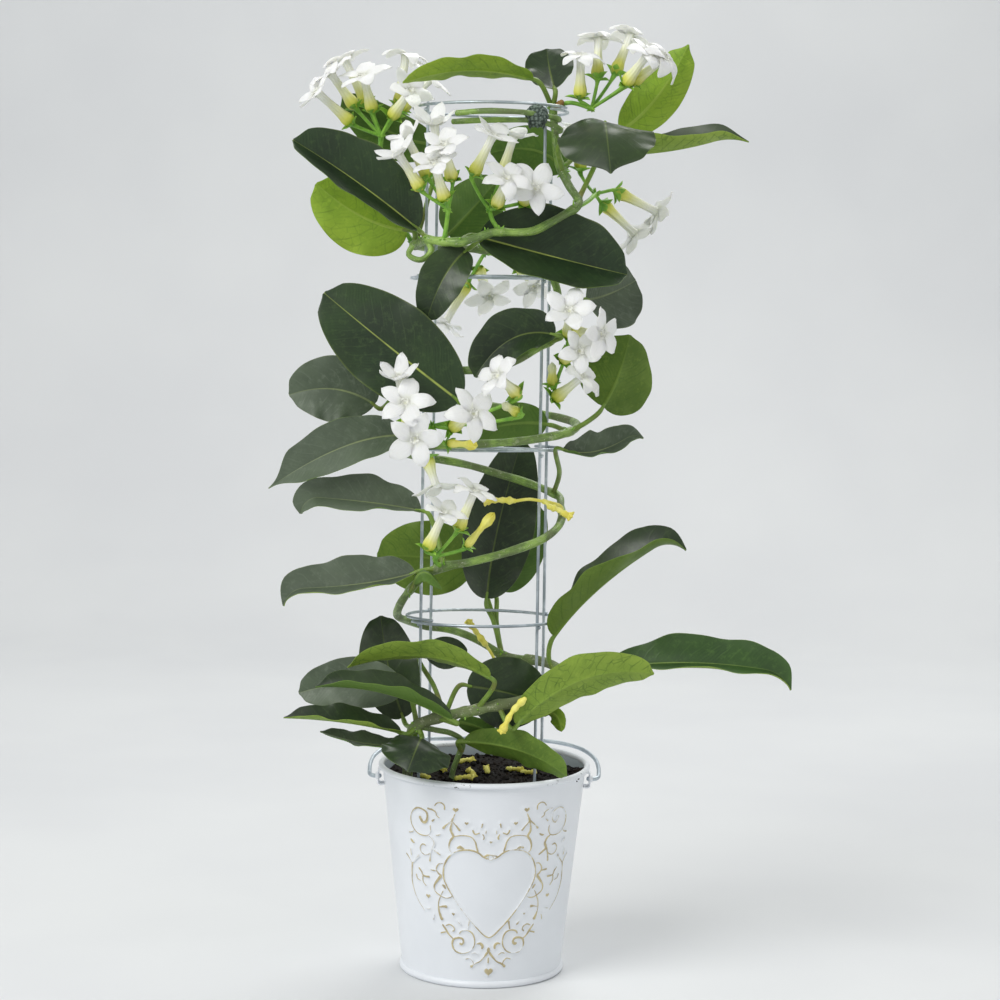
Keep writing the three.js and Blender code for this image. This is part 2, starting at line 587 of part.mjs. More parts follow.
function flowerBody(joint, foot, face, size, lean) {
  const start = at(foot);
  const end = at(face);
  const axis = end.clone().sub(start);
  const length = axis.length();
  const upright = new THREE.Vector3(0, 0, 1);
  const frame = new THREE.Quaternion().setFromUnitVectors(upright, axis.normalize());
  const root = joint.clone().sub(start).applyQuaternion(frame.clone().invert());
  const rootTurn = new THREE.Quaternion().setFromUnitVectors(upright, root.clone().negate().normalize());
  const ringPoint = (lobe, radius, z) => {
    const angle = (2 * Math.PI * (lobe - 0.5)) / LOBES;
    return new THREE.Vector3(radius * Math.cos(angle), radius * Math.sin(angle), z);
  };
  const points = [];
  for (let lobe = 0; lobe < LOBES; lobe += 1) {
    points.push(ringPoint(lobe, PEDICEL_R, 0).applyQuaternion(rootTurn).add(root));
  }
  const rings = [
    [PEDICEL_R, 0],
    [TUBE_FOOT_R, 4],
    [TUBE_NECK_R, length - 3],
  ];
  for (const [radius, z] of rings) {
    for (let lobe = 0; lobe < LOBES; lobe += 1) points.push(ringPoint(lobe, radius, z));
  }
  const outline = [];
  for (let lobe = 0; lobe < LOBES; lobe += 1) {
    for (const { turn, reach } of LOBE_EDGE) {
      const angle = (2 * Math.PI * (lobe + turn)) / LOBES;
      const radius = size * reach;
      const z = length + lean * reach ** 2;
      outline.push(new THREE.Vector3(radius * Math.cos(angle), radius * Math.sin(angle), z));
    }
  }
  for (const spot of outline) points.push(spot.clone().setZ(spot.z - LIMB_THICK));
  for (const spot of outline) points.push(spot);
  points.push(new THREE.Vector3(0, 0, length - 0.4));

  const neck = rings.length * LOBES;
  const under = neck + LOBES;
  const over = under + outline.length;
  const centre = over + outline.length;
  const perLobe = LOBE_EDGE.length;
  const index = [0, 2, 1, 0, 3, 2, 0, 4, 3];
  for (let lobe = 0; lobe < LOBES; lobe += 1) {
    const next = (lobe + 1) % LOBES;
    for (let ring = 0; ring < rings.length; ring += 1) {
      const low = ring * LOBES;
      const high = low + LOBES;
      index.push(low + lobe, low + next, high + lobe, low + next, high + next, high + lobe);
    }
    const edge = [0, 1, 2, 3, 4].map((i) => (lobe * perLobe + i) % outline.length);
    index.push(neck + lobe, under + edge[1], under + edge[0]);
    index.push(neck + lobe, under + edge[2], under + edge[1]);
    index.push(neck + lobe, neck + next, under + edge[2]);
    index.push(neck + next, under + edge[3], under + edge[2]);
    index.push(neck + next, under + edge[4], under + edge[3]);
  }
  for (let i = 0; i < outline.length; i += 1) {
    const next = (i + 1) % outline.length;
    index.push(under + i, under + next, over + i, under + next, over + next, over + i);
    index.push(centre, over + i, over + next);
  }
  const geometry = new THREE.BufferGeometry().setFromPoints(points);
  geometry.setIndex(index);
  geometry.applyQuaternion(frame);
  geometry.translate(start.x, start.y, start.z);
  return solid(geometry);
}

// A bud or a withered flower: a swollen foot that narrows to a closed tip.
function budBody(foot, tip) {
  const points = [at(foot), at(tip)];
  const knob = tube([points[0].clone().lerp(points[1], 0.72), points[1]], BUD_HEAD_R, VINE_SIDES, BUD_STEP);
  return tube(points, BUD_FOOT_R, VINE_SIDES, BUD_STEP).add(knob);
}

function clusterParts(cluster) {
  const joint = at(cluster.joint);
  const stalk = [rootOnVine(cluster.stalk[0]), ...cluster.stalk.slice(1).map(at), joint];
  const knot = new THREE.IcosahedronGeometry(KNOT_R, 0);
  knot.translate(joint.x, joint.y, joint.z);
  const grown = [tube(stalk, CLUSTER_STALK_R, VINE_SIDES, VINE_STEP), solid(knot)];
  for (const [foot, face, lean = -2, size = LIMB_R] of cluster.flowers) {
    grown.push(flowerBody(joint, foot, face, size, lean));
  }
  for (const [foot, tip] of cluster.buds ?? []) {
    grown.push(budBody(foot, tip));
    grown.push(tube([joint, at(foot)], PEDICEL_R, STALK_SIDES, BUD_STEP));
  }
  return grown;
}

function clusterBody(cluster, vineRoom) {
  return largest(wasm.Manifold.union(clusterParts(cluster)).subtract(vineRoom).simplify(JOIN_TOLERANCE));
}

// Each flower is its foot, its face, how far its lobes lean forward (under 0: back) and how far they reach.
const CLUSTERS = [
  {
    name: "flowers_top_left",
    stalk: [[-45, 430, 22], [-56, 452, 30], [-66, 486, 20]],
    joint: [-66, 498, 14],
    flowers: [
      [[-83, 505, 10], [-104, 523, 2], 3, 16],
      [[-81, 514, 14], [-96, 534, 12], 3, 16],
      [[-71, 512, 12], [-77, 533, 4], 1, 18],
      [[-74, 515, 24], [-88, 542, 30], 0, 17],
      [[-60, 509, 10], [-49, 525, -8], 3, 16],
      [[-56, 515, 28], [-52, 546, 30], -4, 17],
      [[-55, 513, 24], [-37, 532, 22], 1, 17],
    ],
  },
  {
    name: "flowers_left",
    stalk: [[-29, 438, -24], [-27, 447, -28]],
    joint: [-26, 456, -32],
    flowers: [
      [[-42, 467, -36], [-56, 488, -44], 7, 14],
      [[-38, 474, -26], [-51, 497, -30], 8, 13],
      [[-32, 483, -24], [-35, 506, -32], 9, 14],
      [[-24, 473, -38], [-29, 494, -53], 3, 15],
      [[-28, 461, -44], [-35, 483, -58], 4, 15],
    ],
  },
  {
    name: "flowers_centre",
    stalk: [[4, 443, -26], [0, 450, -22]],
    joint: [-2, 456, -18],
    flowers: [
      [[-12, 476, -24], [0, 500, -32], 4, 16],
      [[4, 474, -8], [12, 500, -10], 5, 14],
      [[2, 458, -28], [8, 475, -44], 0, 17],
      [[18, 461, -12], [25, 469, -34], 2, 18],
    ],
  },
  {
    name: "flowers_top_right",
    stalk: [[34, 516, 15], [44, 519, 12]],
    joint: [57, 516, 10],
    flowers: [
      [[50, 522, 8], [50, 547, 1], -3, 15],
      [[60, 533, 14], [60, 557, 21], -2, 16],
      [[76, 530, 6], [90, 549, -4], -2, 16],
      [[70, 536, 28], [79, 559, 38], -2, 16],
      [[80, 531, 10], [100, 546, 0], -5, 16],
    ],
  },
  {
    name: "flowers_right_back",
    stalk: [[47, 457, -17], [56, 462, 6]],
    joint: [60, 466, 26],
    flowers: [
      [[64, 461, 36], [84, 443, 48], 2, 16],
      [[72, 468, 34], [97, 456, 42], 2, 16],
      [[51, 480, 46], [51, 504, 46], 3, 16],
    ],
  },
  {
    name: "flowers_back",
    stalk: [[-6, 433, 70], [-5, 433, 76]],
    joint: [-4, 431, 84],
    flowers: [
      [[-14, 413, 94], [-27, 389, 86], 2, 16],
      [[-8, 422, 98], [-1, 405, 80], 2, 17],
      [[16, 424, 94], [25, 411, 78], 2, 16],
    ],
  },
  {
    name: "flowers_right",
    stalk: [[46, 386, 0], [47, 380, -8]],
    joint: [45, 372, -12],
    flowers: [
      [[46, 383, -20], [46, 398, -40], 3, 17],
      [[48, 385, -24], [66, 384, -41], 1, 17],
      [[43, 369, -18], [53, 374, -40], 2, 15],
      [[38, 345, -12], [55, 359, -22], 2, 16],
    ],
    buds: [
      [[37, 353, -12], [36.5, 367, -14]],
    ],
  },
  {
    name: "flowers_centre_left",
    stalk: [[-38, 316, -27], [-36, 324, -34]],
    joint: [-34, 328, -40],
    flowers: [
      [[-50, 335, -50], [-54, 357, -61], 9, 13],
      [[-48, 329, -52], [-50, 342, -74], 1, 18],
      [[-42, 326, -56], [-44, 320, -80], 2, 18],
      [[-22, 327, -46], [-9, 336, -66], -1, 18.5],
      [[17, 347, -46], [4, 359, -60], 2, 15],
      [[-37, 310, -38], [-31, 292, -42], 4, 16],
    ],
    buds: [
      [[-25, 318, -50], [-8, 317, -55]],
      [[18, 336, -43], [7, 342, -45]],
    ],
  },
  {
    name: "flowers_low",
    stalk: [[-29, 243, -41], [-31, 247, -46]],
    joint: [-31, 250, -50],
    flowers: [
      [[-36, 254, -54], [-26, 277, -63], 3, 15],
      [[-18, 266, -54], [-8, 290, -60], 1, 15],
    ],
    buds: [
      [[-13, 256, -50], [3, 276, -54]],
    ],
  },
];

const FADED = [
  {
    stalk: [[10, 191, 47], [8, 187, 42]],
    joint: [6, 187, 40],
    flowers: [],
    buds: [[[0, 197, 38], [-10, 210, 36]]],
  },
  {
    stalk: [[44, 275, 4], [43, 281, -8]],
    joint: [33, 284, -22],
    flowers: [],
    buds: [
      [[16, 284, -28], [0, 284, -34]],
      [[36, 281, -24], [47, 276, -24]],
    ],
  },
];

// ---- Tie ----
function tieBody(room) {
  const knot = new THREE.IcosahedronGeometry(TIE_R, 1);
  knot.scale(1.05, 0.85, 1);
  const centre = at([25, 511, -14]);
  knot.translate(centre.x, centre.y, centre.z);
  return largest(solid(knot).subtract(room));
}

// ---- Assembly ----
const WHITE_PAINT = 0xdfe4ea;
const GALVANISED = 0xaeb8bf;
const LEAF_GREEN = 0x33442f;
const VINE_GREEN = 0x5d8a35;
const PETAL_WHITE = 0xf2f3ee;

function legRoom(line, extra) {
  return tube(line, WIRE_R + extra, WIRE_SIDES, TOWER_TOP);
}

function build() {
  const plant = new THREE.Group();
  plant.name = "madagascar_jasmine";
  const legs = [
    ["leg_front_left", legLine(-1, -1)],
    ["leg_front_right", legLine(1, -1)],
    ["leg_back_left", legLine(-1, 1)],
    ["leg_back_right", legLine(1, 1)],
  ];
  const vineRoom = vineStems(GAP);
  const holes = legs.map(([, line]) => {
    const low = line[0].clone().setZ(line[0].z - GAP);
    return legRoom([low, line[1]], GAP);
  });

  plant.add(mesh("bucket", bucketBody(), WHITE_PAINT, 0.45, 0.3));
  plant.add(mesh("soil", soilBody([...holes, vineRoom]), 0x2a231c, 0.95, 0));
  plant.add(mesh("ear_left", earBody(-1), WHITE_PAINT, 0.45, 0.3));
  plant.add(mesh("ear_right", earBody(1), WHITE_PAINT, 0.45, 0.3));
  plant.add(mesh("bail", bailBody(), GALVANISED, 0.4, 1));
  for (const [name, line] of legs) plant.add(mesh(name, legRoom(line, 0), GALVANISED, 0.4, 1));
  RING_LEVELS.forEach((level, i) => {
    plant.add(mesh(`ring_${i + 1}`, ringBody(level), GALVANISED, 0.4, 1));
  });
  const tieRoom = wasm.Manifold.union([vineRoom, holes[1], ringRoom(RING_LEVELS[3])]);
  plant.add(mesh("tie", tieBody(tieRoom), 0x55605a, 0.9, 0));
  plant.add(mesh("vine", vineBody(), VINE_GREEN, 0.6, 0));
  for (const item of LEAVES) plant.add(mesh(item.name, bladeBody(item), LEAF_GREEN, 0.45, 0));
  for (const cluster of CLUSTERS) {
    plant.add(mesh(cluster.name, clusterBody(cluster, vineRoom), PETAL_WHITE, 0.5, 0));
  }
  return plant;
}

export default build();
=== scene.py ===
"""Madagascar jasmine on its wire tower in a white metal bucket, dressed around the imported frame.

Sizes are in millimetres; a finished piece is turned into metres when its mesh is made.
"""

import logging
import math
from collections.abc import Callable
from dataclasses import dataclass, field
from enum import Enum
from functools import cache, cached_property

import bpy
import bmesh
import numpy as np
from mathutils import Matrix, Vector


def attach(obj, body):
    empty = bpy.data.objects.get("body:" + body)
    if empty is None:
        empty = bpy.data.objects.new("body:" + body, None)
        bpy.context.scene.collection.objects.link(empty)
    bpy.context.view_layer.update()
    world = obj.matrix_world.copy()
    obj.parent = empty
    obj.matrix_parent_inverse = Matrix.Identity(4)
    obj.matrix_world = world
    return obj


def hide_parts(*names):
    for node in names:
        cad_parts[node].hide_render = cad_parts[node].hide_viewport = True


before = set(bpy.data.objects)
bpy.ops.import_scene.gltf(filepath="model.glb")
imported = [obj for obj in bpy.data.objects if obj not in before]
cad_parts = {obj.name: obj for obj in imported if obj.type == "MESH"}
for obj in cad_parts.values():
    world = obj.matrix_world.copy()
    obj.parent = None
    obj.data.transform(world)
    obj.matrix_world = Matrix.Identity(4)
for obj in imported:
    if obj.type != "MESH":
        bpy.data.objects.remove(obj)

LOG = logging.getLogger("jasmine")
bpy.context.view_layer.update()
MM = 0.001
TURN = 2 * math.pi
Array = np.ndarray
Number = np.ndarray | float
Random = np.random.Generator
Point = tuple[float, float, float]

# ---- Sizes shared with the frame ----
EYE = np.array([7.0, -1711.0, 490.0])
WALL_FOOT_R, WALL_TOP_R, FOOT_BEAD = 48.0, 61.0, 2.2
RIM_Z, RIM_OUTER, RIM_BEAD = 124.2, 63.5, 1.8
SOIL_TOP = 118.5
PIVOT_Z, BAIL_R, BAIL_REST = 116.5, 1.25, math.radians(9.9)
WIRE_R = 0.9
LEAN, TOWER_X, TOWER_TURN = math.radians(3.87), -2.0, math.radians(5)
LEAN_FOOT_Z = 120
TOWER_HALF_X, TOWER_HALF_Y, TOWER_FOOT, TOWER_TOP = 34.5, 27.0, 61.0, 518.0
RING_LEVELS = (212.0, 313.0, 415.0, 514.0)
LIMB_R = 18.8
LENS, FILM, LOOK_DOWN, TILT = 104.4, 36, 6.85, 0.9
STEM_STEP = 1.4


# ---- Measures ----
def sighted(point: Point) -> Array:
    """Place of a point of the front elevation, (x, height, depth behind it), moved along its sight line.

    Args:
        point: x and height on the elevation, and how far it stands behind it.

    Returns:
        The place in the frame, in millimetres.
    """
    x, z, y = point
    scale = 1 - y / EYE[1]
    return np.array([EYE[0] + (x - EYE[0]) * scale, y, EYE[2] + (z - EYE[2]) * scale])


def unit(vector: Array) -> Array:
    """The vector, or each row of several, at length one."""
    return vector / np.maximum(np.linalg.norm(vector, axis=-1, keepdims=True), 1e-9)


def ease(low: float, high: float, value: Number) -> Number:
    """A smooth step from 0 at low to 1 at high."""
    t = np.clip((value - low) / (high - low), 0, 1)
    return t * t * (3 - 2 * t)


def widened(values: Array, count: int) -> Array:
    """Rows that each repeat one of the values."""
    return np.repeat(values[:, None], count, axis=1)


def round_axis(radius: Number, height: Number, turn: Array) -> Array:
    """Places at a radius and a height round the upright axis, at angles from the front."""
    return np.stack(np.broadcast_arrays(radius * np.sin(turn), -radius * np.cos(turn), height), axis=-1)


def turned(radius: Array, height: Array, around: Array, ribs: Number = 1.0) -> Array:
    """Rows of points of a body turned about its own axis.

    Args:
        radius: the radius at each row.
        height: the place of each row along the axis.
        around: the angles of the columns.
        ribs: what the radius is multiplied by at each point.

    Returns:
        Rows by columns of points.
    """
    wide = radius[:, None]
    return np.stack([wide * np.cos(around) * ribs, wide * np.sin(around) * ribs,
                     widened(height, len(around))], axis=-1)


def spaced(line: Array, step: float) -> Array:
    """The same line with evenly spaced points.

    Args:
        line: its points.
        step: the spacing wanted.

    Returns:
        One row for each place on the line.
    """
    reach = np.concatenate([[0], np.cumsum(np.linalg.norm(np.diff(line, axis=0), axis=1))])
    wanted = np.linspace(0, reach[-1], max(2, round(reach[-1] / step) + 1))
    return np.stack([np.interp(wanted, reach, line[:, k]) for k in range(line.shape[1])], axis=1)


def smooth_line(points: list | Array, step: float) -> Array:
    """A smooth line through points, evenly spaced.

    Args:
        points: the points that it passes through, in two or three dimensions.
        step: the spacing wanted along it.

    Returns:
        One row for each place on the line.
    """
    knots = np.array(points, float)
    if len(knots) == 2:
        return spaced(knots, step)
    knots = np.vstack([2 * knots[0] - knots[1], knots, 2 * knots[-1] - knots[-2]])
    t = np.linspace(0, 1, 20, endpoint=False)[:, None]
    bends = []
    for i in range(1, len(knots) - 2):
        a, b, c, d = knots[i - 1:i + 3]
        ab, bc, cd = (max(math.sqrt(np.linalg.norm(q - p)), 1e-3) for p, q in ((a, b), (b, c), (c, d)))
        leave = ((b - a) / ab - (c - a) / (ab + bc) + (c - b) / bc) * bc
        reach = ((c - b) / bc - (d - b) / (bc + cd) + (d - c) / cd) * bc
        bends.append((2 * t**3 - 3 * t**2 + 1) * b + (t**3 - 2 * t**2 + t) * leave
                     + (3 * t**2 - 2 * t**3) * c + (t**3 - t**2) * reach)
    bends.append(knots[-2][None])
    return spaced(np.vstack(bends), step)


def frames_along(line: Array) -> tuple[Array, Array, Array]:
    """Directions along a line and two square to it that turn as little as they can.

    Args:
        line: the points of the line.

    Returns:
        The tangent, the first and the second cross direction at each point.
    """
    along = unit(np.gradient(line, axis=0))
    start = np.array([0.0, 0.0, 1.0]) if abs(along[0][2]) < 0.9 else np.array([1.0, 0.0, 0.0])
    first = [unit(start - along[0] * (start @ along[0]))]
    for direction in along[1:]:
        first.append(unit(first[-1] - direction * (first[-1] @ direction)))
    first = np.array(first)
    return along, first, np.cross(along, first)


# ---- Meshes ----
@dataclass
class Sketch:
    """Collects the points, faces and marks of one piece."""

    points: list = field(default_factory=list)
    faces: list = field(default_factory=list)
    finishes: list = field(default_factory=list)
    marks: dict = field(default_factory=dict)
    count: int = 0

    def add(self, points: Array, faces: Array, finish: int = 0, **marks: Array) -> None:
        """Adds a patch.

        Args:
            points: its points, one row each.
            faces: its faces, rows of three or four point numbers.
            finish: the number of its finish in the piece's list.
            marks: numbers or vectors kept at each point for the finishes to read.
        """
        for name in {**self.marks, **marks}:
            if name not in self.marks:
                self.marks[name] = [np.zeros((self.count, 3))] if self.count else []
            values = np.zeros((len(points), 3))
            if name in marks:
                given = np.asarray(marks[name], float)
                values[:, :1 if given.ndim < 2 else 3] = given.reshape(len(points), -1)
            self.marks[name].append(values)
        self.points.append(points)
        self.faces.append(np.asarray(faces) + self.count)
        self.finishes.append(np.full(len(faces), finish))
        self.count += len(points)

    def sheet(self, grid: Array, finish: int = 0, ring: bool = False, back: bool = False,
              **marks: Array) -> None:
        """Adds a grid of quads.

        Args:
            grid: rows by columns of points.
            finish: the number of its finish.
            ring: the last column meets the first.
            back: the faces look the other way.
            marks: values at each point, rows by columns.
        """
        rows, columns = grid.shape[:2]
        number = np.arange(rows * columns).reshape(rows, columns)
        if ring:
            number = np.hstack([number, number[:, :1]])
        a, b, c, d = number[:-1, :-1], number[:-1, 1:], number[1:, 1:], number[1:, :-1]
        faces = np.stack([a, d, c, b] if back else [a, b, c, d], axis=-1).reshape(-1, 4)
        flat = {name: np.asarray(v).reshape(rows * columns, -1) for name, v in marks.items()}
        self.add(grid.reshape(-1, 3), faces, finish, **flat)

    def tube(self, line: Array, radius: Number, sides: int, finish: int = 0, **marks: Array) -> None:
        """Adds a round rod with rounded ends along a line.

        Args:
            line: its centre line.
            radius: its radius, one number or one for each point.
            sides: how many sides it has.
            finish: the number of its finish.
            marks: values at each point of the line.
        """
        radii = np.broadcast_to(np.asarray(radius, float), (len(line),))
        along, first, second = frames_along(line)
        turn = np.linspace(0, TURN, sides, endpoint=False)
        around = first[:, None] * np.cos(turn)[None, :, None] + second[:, None] * np.sin(turn)[None, :, None]
        rings = line[:, None] + around * radii[:, None, None]
        caps = []
        for end, sign in ((0, -1), (-1, 1)):
            bends = [0.5, 0.85, 1.0][::sign]
            caps.append(np.stack([
                line[end] + sign * along[end] * radii[end] * 0.6 * b
                + around[end] * radii[end] * math.sqrt(max(1 - b * b, 0.0001)) for b in bends]))
        spread = {name: widened(np.concatenate([m[:1]] * 3 + [m] + [m[-1:]] * 3), sides)
                  for name, m in marks.items()}
        self.sheet(np.concatenate([caps[0], rings, caps[1]]), finish, ring=True, **spread)

    def grow(self, points: list, step: float, size: Callable[[Array], Number], sides: int, finish: int = 0,
             flesh: tuple[float, float] = (0.0, 1.0)) -> None:
        """Adds a fleshy stem or stalk along a smooth line through points.

        Args:
            points: the points that it passes through.
            step: the spacing of its rings.
            size: gives its radius from the share of its length.
            sides: how many sides it has.
            finish: the number of its finish.
            flesh: the mark named flesh at its start and at its end.
        """
        line = smooth_line(points, step)
        share = np.linspace(0, 1, len(line))
        self.tube(line, size(share), sides, finish, flesh=flesh[0] + (flesh[1] - flesh[0]) * share)

    def make(self, name: str, finishes: list, replaces: tuple[str, ...], slot: str,
             body: str = "planter", crease: float = 50) -> None:
        """Makes the piece and sets it in the frame.

        Args:
            name: the piece's name.
            finishes: its finishes, in the order of their numbers.
            replaces: the frame's nodes that it stands for.
            slot: the record's material slot, which is not used.
            body: the body that it moves with.
            crease: the edge angle in degrees from which shading breaks.
        """
        points = np.vstack(self.points) * MM
        loops = np.concatenate([f.ravel() for f in self.faces])
        totals = np.concatenate([np.full(len(f), f.shape[1]) for f in self.faces])
        mesh = bpy.data.meshes.new(name)
        mesh.vertices.add(len(points))
        mesh.vertices.foreach_set("co", points.astype(np.float32).ravel())
        mesh.loops.add(len(loops))
        mesh.loops.foreach_set("vertex_index", loops.astype(np.int32))
        mesh.polygons.add(len(totals))
        mesh.polygons.foreach_set("loop_start", np.concatenate([[0], np.cumsum(totals)[:-1]]).astype(np.int32))
        mesh.polygons.foreach_set("material_index", np.concatenate(self.finishes).astype(np.int32))
        for mark, rows in self.marks.items():
            layer = mesh.attributes.new(mark, "FLOAT_VECTOR", "POINT")
            layer.data.foreach_set("vector", np.vstack(rows).astype(np.float32).ravel())
        mesh.update(calc_edges=True)
        mesh.validate()
        solid = bmesh.new()
        solid.from_mesh(mesh)
        bmesh.ops.remove_doubles(solid, verts=solid.verts, dist=2e-6)
        solid.to_mesh(mesh)
        solid.free()
        mesh.polygons.foreach_set("use_smooth", np.ones(len(mesh.polygons), bool))
        mesh.set_sharp_from_angle(angle=math.radians(crease))
        for finish in finishes:
            mesh.materials.append(finish.material)
        piece = bpy.data.objects.new(name, mesh)
        bpy.context.scene.collection.objects.link(piece)
        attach(piece, body)
        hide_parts(*replaces)
        LOG.info("%s: %d faces", name, len(mesh.polygons))


# ---- Finishes ----
Inputs = dict[str, object]
Socket = bpy.types.NodeSocket
RESULTS = {"Colour": "NodeSocketColor", "Roughness": "NodeSocketFloat", "Height": "NodeSocketFloat"}


def paint(code: str) -> tuple[float, float, float, float]:
    """A colour from its sRGB hex code, in linear light."""
    parts = [int(code[i:i + 2], 16) / 255 for i in (1, 3, 5)]
    return (*[p / 12.92 if p <= 0.04045 else ((p + 0.055) / 1.055) ** 2.4 for p in parts], 1.0)


def linear(value: object) -> object:
    """A socket's value: a colour for a hex code, and anything else as it is."""
    return paint(value) if isinstance(value, str) else value


@dataclass
class Wiring:
    """Adds nodes to a node tree and joins their sockets."""

    tree: bpy.types.NodeTree

    def add(self, kind: str, wires: dict | None = None, **settings: object) -> bpy.types.Node:
        """Adds one node.

        Args:
            kind: its type.
            wires: what goes into its inputs, a value or an output of another node.
            settings: its own settings.

        Returns:
            The node.
        """
        made = self.tree.nodes.new(kind)
        for name, value in settings.items():
            setattr(made, name, value)
        for key, value in (wires or {}).items():
            if isinstance(value, Socket):
                self.tree.links.new(value, made.inputs[key])
            else:
                made.inputs[key].default_value = value
        return made

    def math(self, operation: str, a: object, b: object = 0.0) -> Socket:
        """The result of one sum on two values."""
        return self.add("ShaderNodeMath", {0: a, 1: b}, operation=operation).outputs[0]

    def plus(self, a: object, b: object) -> Socket:
        """One value added to another."""
        return self.math("ADD", a, b)

    def minus(self, a: object, b: object) -> Socket:
        """One value taken from another."""
        return self.math("SUBTRACT", a, b)

    def times(self, a: object, b: object) -> Socket:
        """One value multiplied by another."""
        return self.math("MULTIPLY", a, b)

    def band(self, value: object, low: float, high: float, start: float = 0.0,
             end: float = 1.0) -> Socket:
        """A smooth step of a value from start at low to end at high."""
        wires = {"Value": value, "From Min": low, "From Max": high, "To Min": start, "To Max": end}
        return self.add("ShaderNodeMapRange", wires, interpolation_type="SMOOTHSTEP").outputs["Result"]

    def mix(self, share: object, a: object, b: object) -> Socket:
        """A colour between a and b."""
        return self.add("ShaderNodeMix", {"Factor": share, 6: a, 7: b}, data_type="RGBA").outputs[2]

    def noise(self, place: object, scale: float, detail: float = 3.0,
              rough: float = 0.55) -> Socket:
        """Cloudy noise at a scale, in turns a metre."""
        wires = {"Vector": place, "Scale": scale, "Detail": detail, "Roughness": rough}
        return self.add("ShaderNodeTexNoise", wires).outputs["Fac"]

    def place(self) -> Socket:
        """The place on the piece, in metres."""
        return self.add("ShaderNodeTexCoord").outputs["Object"]

    def vector(self, x: object, y: object, z: object = 0.0) -> Socket:
        """Three values as one vector."""
        return self.add("ShaderNodeCombineXYZ", {0: x, 1: y, 2: z}).outputs[0]

    def mark(self, name: str) -> bpy.types.bpy_prop_collection:
        """The three numbers that the piece keeps at its points under a name."""
        kept = self.add("ShaderNodeAttribute", attribute_type="GEOMETRY", attribute_name=name)
        return self.add("ShaderNodeSeparateXYZ", {0: kept.outputs["Vector"]}).outputs


@dataclass(frozen=True)
class Effect:
    """A look that finishes share: its inputs with their usual values, and what draws it.

    The drawing takes the wiring of the node group and its input sockets by name. It returns the colour, the
    roughness and the height.
    """

    name: str
    inputs: Inputs
    draw: Callable[[Wiring, Inputs], tuple]

    @cached_property
    def group(self) -> bpy.types.NodeTree:
        """The node group, built once."""
        tree = bpy.data.node_groups.new(self.name, "ShaderNodeTree")
        for key, value in self.inputs.items():
            kind = "NodeSocketColor" if isinstance(value, str) else "NodeSocketFloat"
            tree.interface.new_socket(key, in_out="INPUT", socket_type=kind).default_value = linear(value)
        for key, kind in RESULTS.items():
            tree.interface.new_socket(key, in_out="OUTPUT", socket_type=kind)
        given = tree.nodes.new("NodeGroupInput").outputs
        results = self.draw(Wiring(tree), {key: given[key] for key in self.inputs})
        ends = tree.nodes.new("NodeGroupOutput").inputs
        for key, socket in zip(RESULTS, results):
            tree.links.new(socket, ends[key])
        return tree


@dataclass(frozen=True)
class Finish:
    """One surface: an effect with its own values, the depth of its bumps and its shader's own settings."""

    name: str
    effect: Effect
    relief: float
    values: Inputs = field(default_factory=dict)
    shader: Inputs = field(default_factory=dict)

    @cached_property
    def material(self) -> bpy.types.Material:
        """The material, made once."""
        material = bpy.data.materials.new(self.name)
        material.use_nodes = True
        wiring = Wiring(material.node_tree)
        shade = material.node_tree.nodes["Principled BSDF"]
        look = wiring.add("ShaderNodeGroup", node_tree=self.effect.group)
        for key, value in self.values.items():
            look.inputs[key].default_value = linear(value)
        bump = wiring.add("ShaderNodeBump", {"Height": look.outputs["Height"], "Distance": self.relief * MM})
        for socket, key in ((look.outputs["Colour"], "Base Color"), (look.outputs["Roughness"], "Roughness"),
                            (bump.outputs["Normal"], "Normal")):
            material.node_tree.links.new(socket, shade.inputs[key])
        for key, value in self.shader.items():
            shade.inputs[key].default_value = value
        colours = [paint(v) for v in self.values.values() if isinstance(v, str)]
        material.diffuse_color = colours[0] if colours else (0.5, 0.5, 0.5, 1)
        return material


def draw_painted_sheet(w: Wiring, given: Inputs) -> tuple:
    """Satin paint with faint orange peel, dust in soft clouds and small chips down to dark primer.

    Args:
        w: the wiring of the node group.
        given: its input sockets.

    Returns:
        Colour, roughness and height.
    """
    place = w.place()
    clouds = w.noise(place, 18, 4)
    specks = w.noise(place, 420, 5, 0.7)
    chips = w.times(w.band(specks, 0.58, 0.62), w.band(w.plus(w.mark("edge")[0], clouds), 1.42, 1.5))
    toned = w.mix(w.band(clouds, 0.35, 0.75, 0, 0.5), given["Paint"], given["Dust"])
    rough = w.plus(w.band(clouds, 0.3, 0.7, 0.36, 0.48), w.times(chips, 0.3))
    return w.mix(chips, toned, given["Primer"]), rough, w.minus(w.times(w.noise(place, 900, 2), 0.25), chips)


def draw_rubbed_gold(w: Wiring, given: Inputs) -> tuple:
    """Gold wax rubbed on the crests of the relief, worn through to the paint in places.

    Args:
        w: the wiring of the node group.
        given: its input sockets.

    Returns:
        Colour, roughness and height.
    """
    place = w.place()
    worn = w.noise(place, 420, 4, 0.7)
    patches = w.band(w.noise(place, 55, 3), 0.36, 0.54, -0.35, 0.12)
    held = w.band(w.plus(w.plus(w.mark("crest")[0], patches), w.times(worn, 0.9)), 0.95, 1.35)
    waxed = w.mix(w.band(w.noise(place, 160, 4, 0.7), 0.38, 0.62), given["Gold"], given["Brown"])
    return w.mix(held, given["Paint"], waxed), w.band(held, 0, 1, 0.42, 0.55), worn


